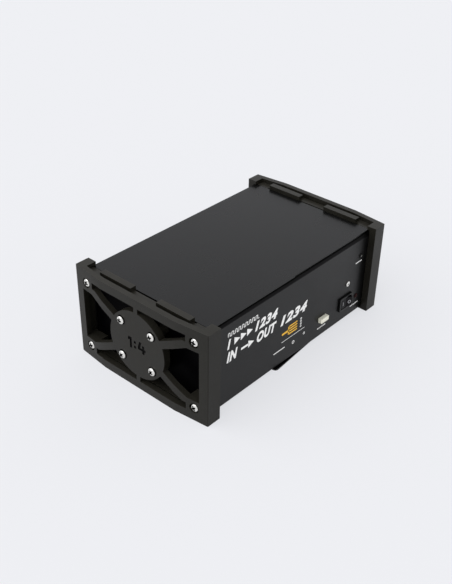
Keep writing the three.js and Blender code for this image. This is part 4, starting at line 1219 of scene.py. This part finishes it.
def plug_floor_mesh():
    """The insulating floor that holds the pins."""
    return blank_mesh(turned([(0, BORE_BOTTOM), (PLUG_FLOOR_RADIUS, BORE_BOTTOM),
                              (PLUG_FLOOR_RADIUS, PLUG_FLOOR_TOP), (0, PLUG_FLOOR_TOP)], 48))


def make_latch(node):
    """A thumb tab with grip ribs across its outer end."""
    low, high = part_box(node)
    tall = high[2] - low[2]
    proud = high[1] - low[1]
    pitch = tall / LATCH_RIBS
    outline = [(0, 0), (tall, 0), (tall, proud - LATCH_RIB)]
    for step in range(LATCH_RIBS):
        right = tall - step * pitch
        outline += [(right - 0.25 * pitch, proud), (right - 0.75 * pitch, proud),
                    (right - pitch, proud - LATCH_RIB)]
    place = face_place((0, 0, 1), (0, 1, 0), (1, 0, 0), (0, low[1], low[2]))
    bm = soften(outward(prism(outline, low[0], high[0], place)), LATCH_SOFTNESS, 2, LATCH_HARD_ANGLE)
    finish_mesh(f"{node}_tab", bm, ["black_plastic"], f"{node}_body", [node])


def make_sockets():
    females = ["link_socket"] + [node for node in frame["nodes"] if node.startswith("output_socket_")]
    shell = socket_shell_mesh(male=False)
    places = [socket_place(node) for node in females]
    for node, place in zip(females, places):
        finish_mesh(f"{node}_shell", gather(shell, [place]), ["nickel_shell"], CASE, [node])
    finish_mesh("socket_inserts", gather(insert_mesh(), places), ["black_plastic"], CASE)
    finish_mesh("socket_sleeves", gather(sleeve_mesh(), places), ["gold_contact"])
    places = [socket_place("input_socket")]
    finish_mesh("input_socket_shell", gather(socket_shell_mesh(male=True), places), ["nickel_shell"], CASE,
                ["input_socket"])
    finish_mesh("input_socket_pins", gather(pin_mesh(), places), ["gold_contact"])
    finish_mesh("input_socket_floor", gather(plug_floor_mesh(), places), ["black_plastic"], CASE)
    for node in frame["nodes"]:
        if "latch" in node:
            make_latch(node)


# Mains inlet, whose blades show as bare metal, its drawer, and the words below the sockets

BLADE = (2 * MM, 4 * MM)
BLADE_SPREAD = 14 * MM
CAVITY_RAISE = 6 * MM
BLADE_ROOT = 14.95 * MM
BLADE_TIP = 1 * MM
BLADE_PLAY = 0.02 * MM
INLET_SOFTNESS = 0.3 * MM


def make_inlet():
    low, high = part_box("mains_inlet")
    middle = (low[0] + high[0]) / 2
    level = (low[2] + high[2]) / 2 + CAVITY_RAISE
    bm = soften(node_mesh("mains_inlet"), INLET_SOFTNESS)
    for face in bm.faces:
        centre = face.calc_center_median()
        near = min(abs(centre.x - middle - side * BLADE_SPREAD / 2) for side in (-1, 0, 1))
        inside = high[1] - BLADE_ROOT < centre.y < high[1] - BLADE_TIP
        if near < BLADE[0] / 2 + BLADE_PLAY and inside and abs(centre.z - level) < BLADE[1]:
            face.material_index = 1
    make_skin("mains_inlet", bm, ["black_plastic", "nickel_shell"])
    make_soft_copy("fuse_drawer")


def make_rear_print():
    white = bmesh.new()
    for node, words, half, low, high in REAR_WORDS:
        add_text(white, words, (-half, half, low, high), socket_place(node), REAR_BOLD)
    finish_mesh("rear_print", outward(white), ["white_ink"])


bpy.context.scene.view_settings.view_transform = "Standard"
make_camera()
make_world()
make_floor()
make_key_light()
make_case()
make_end_frames()
make_screws()
make_panel_fittings()
make_panel_print()
make_sockets()
make_inlet()
make_rear_print()
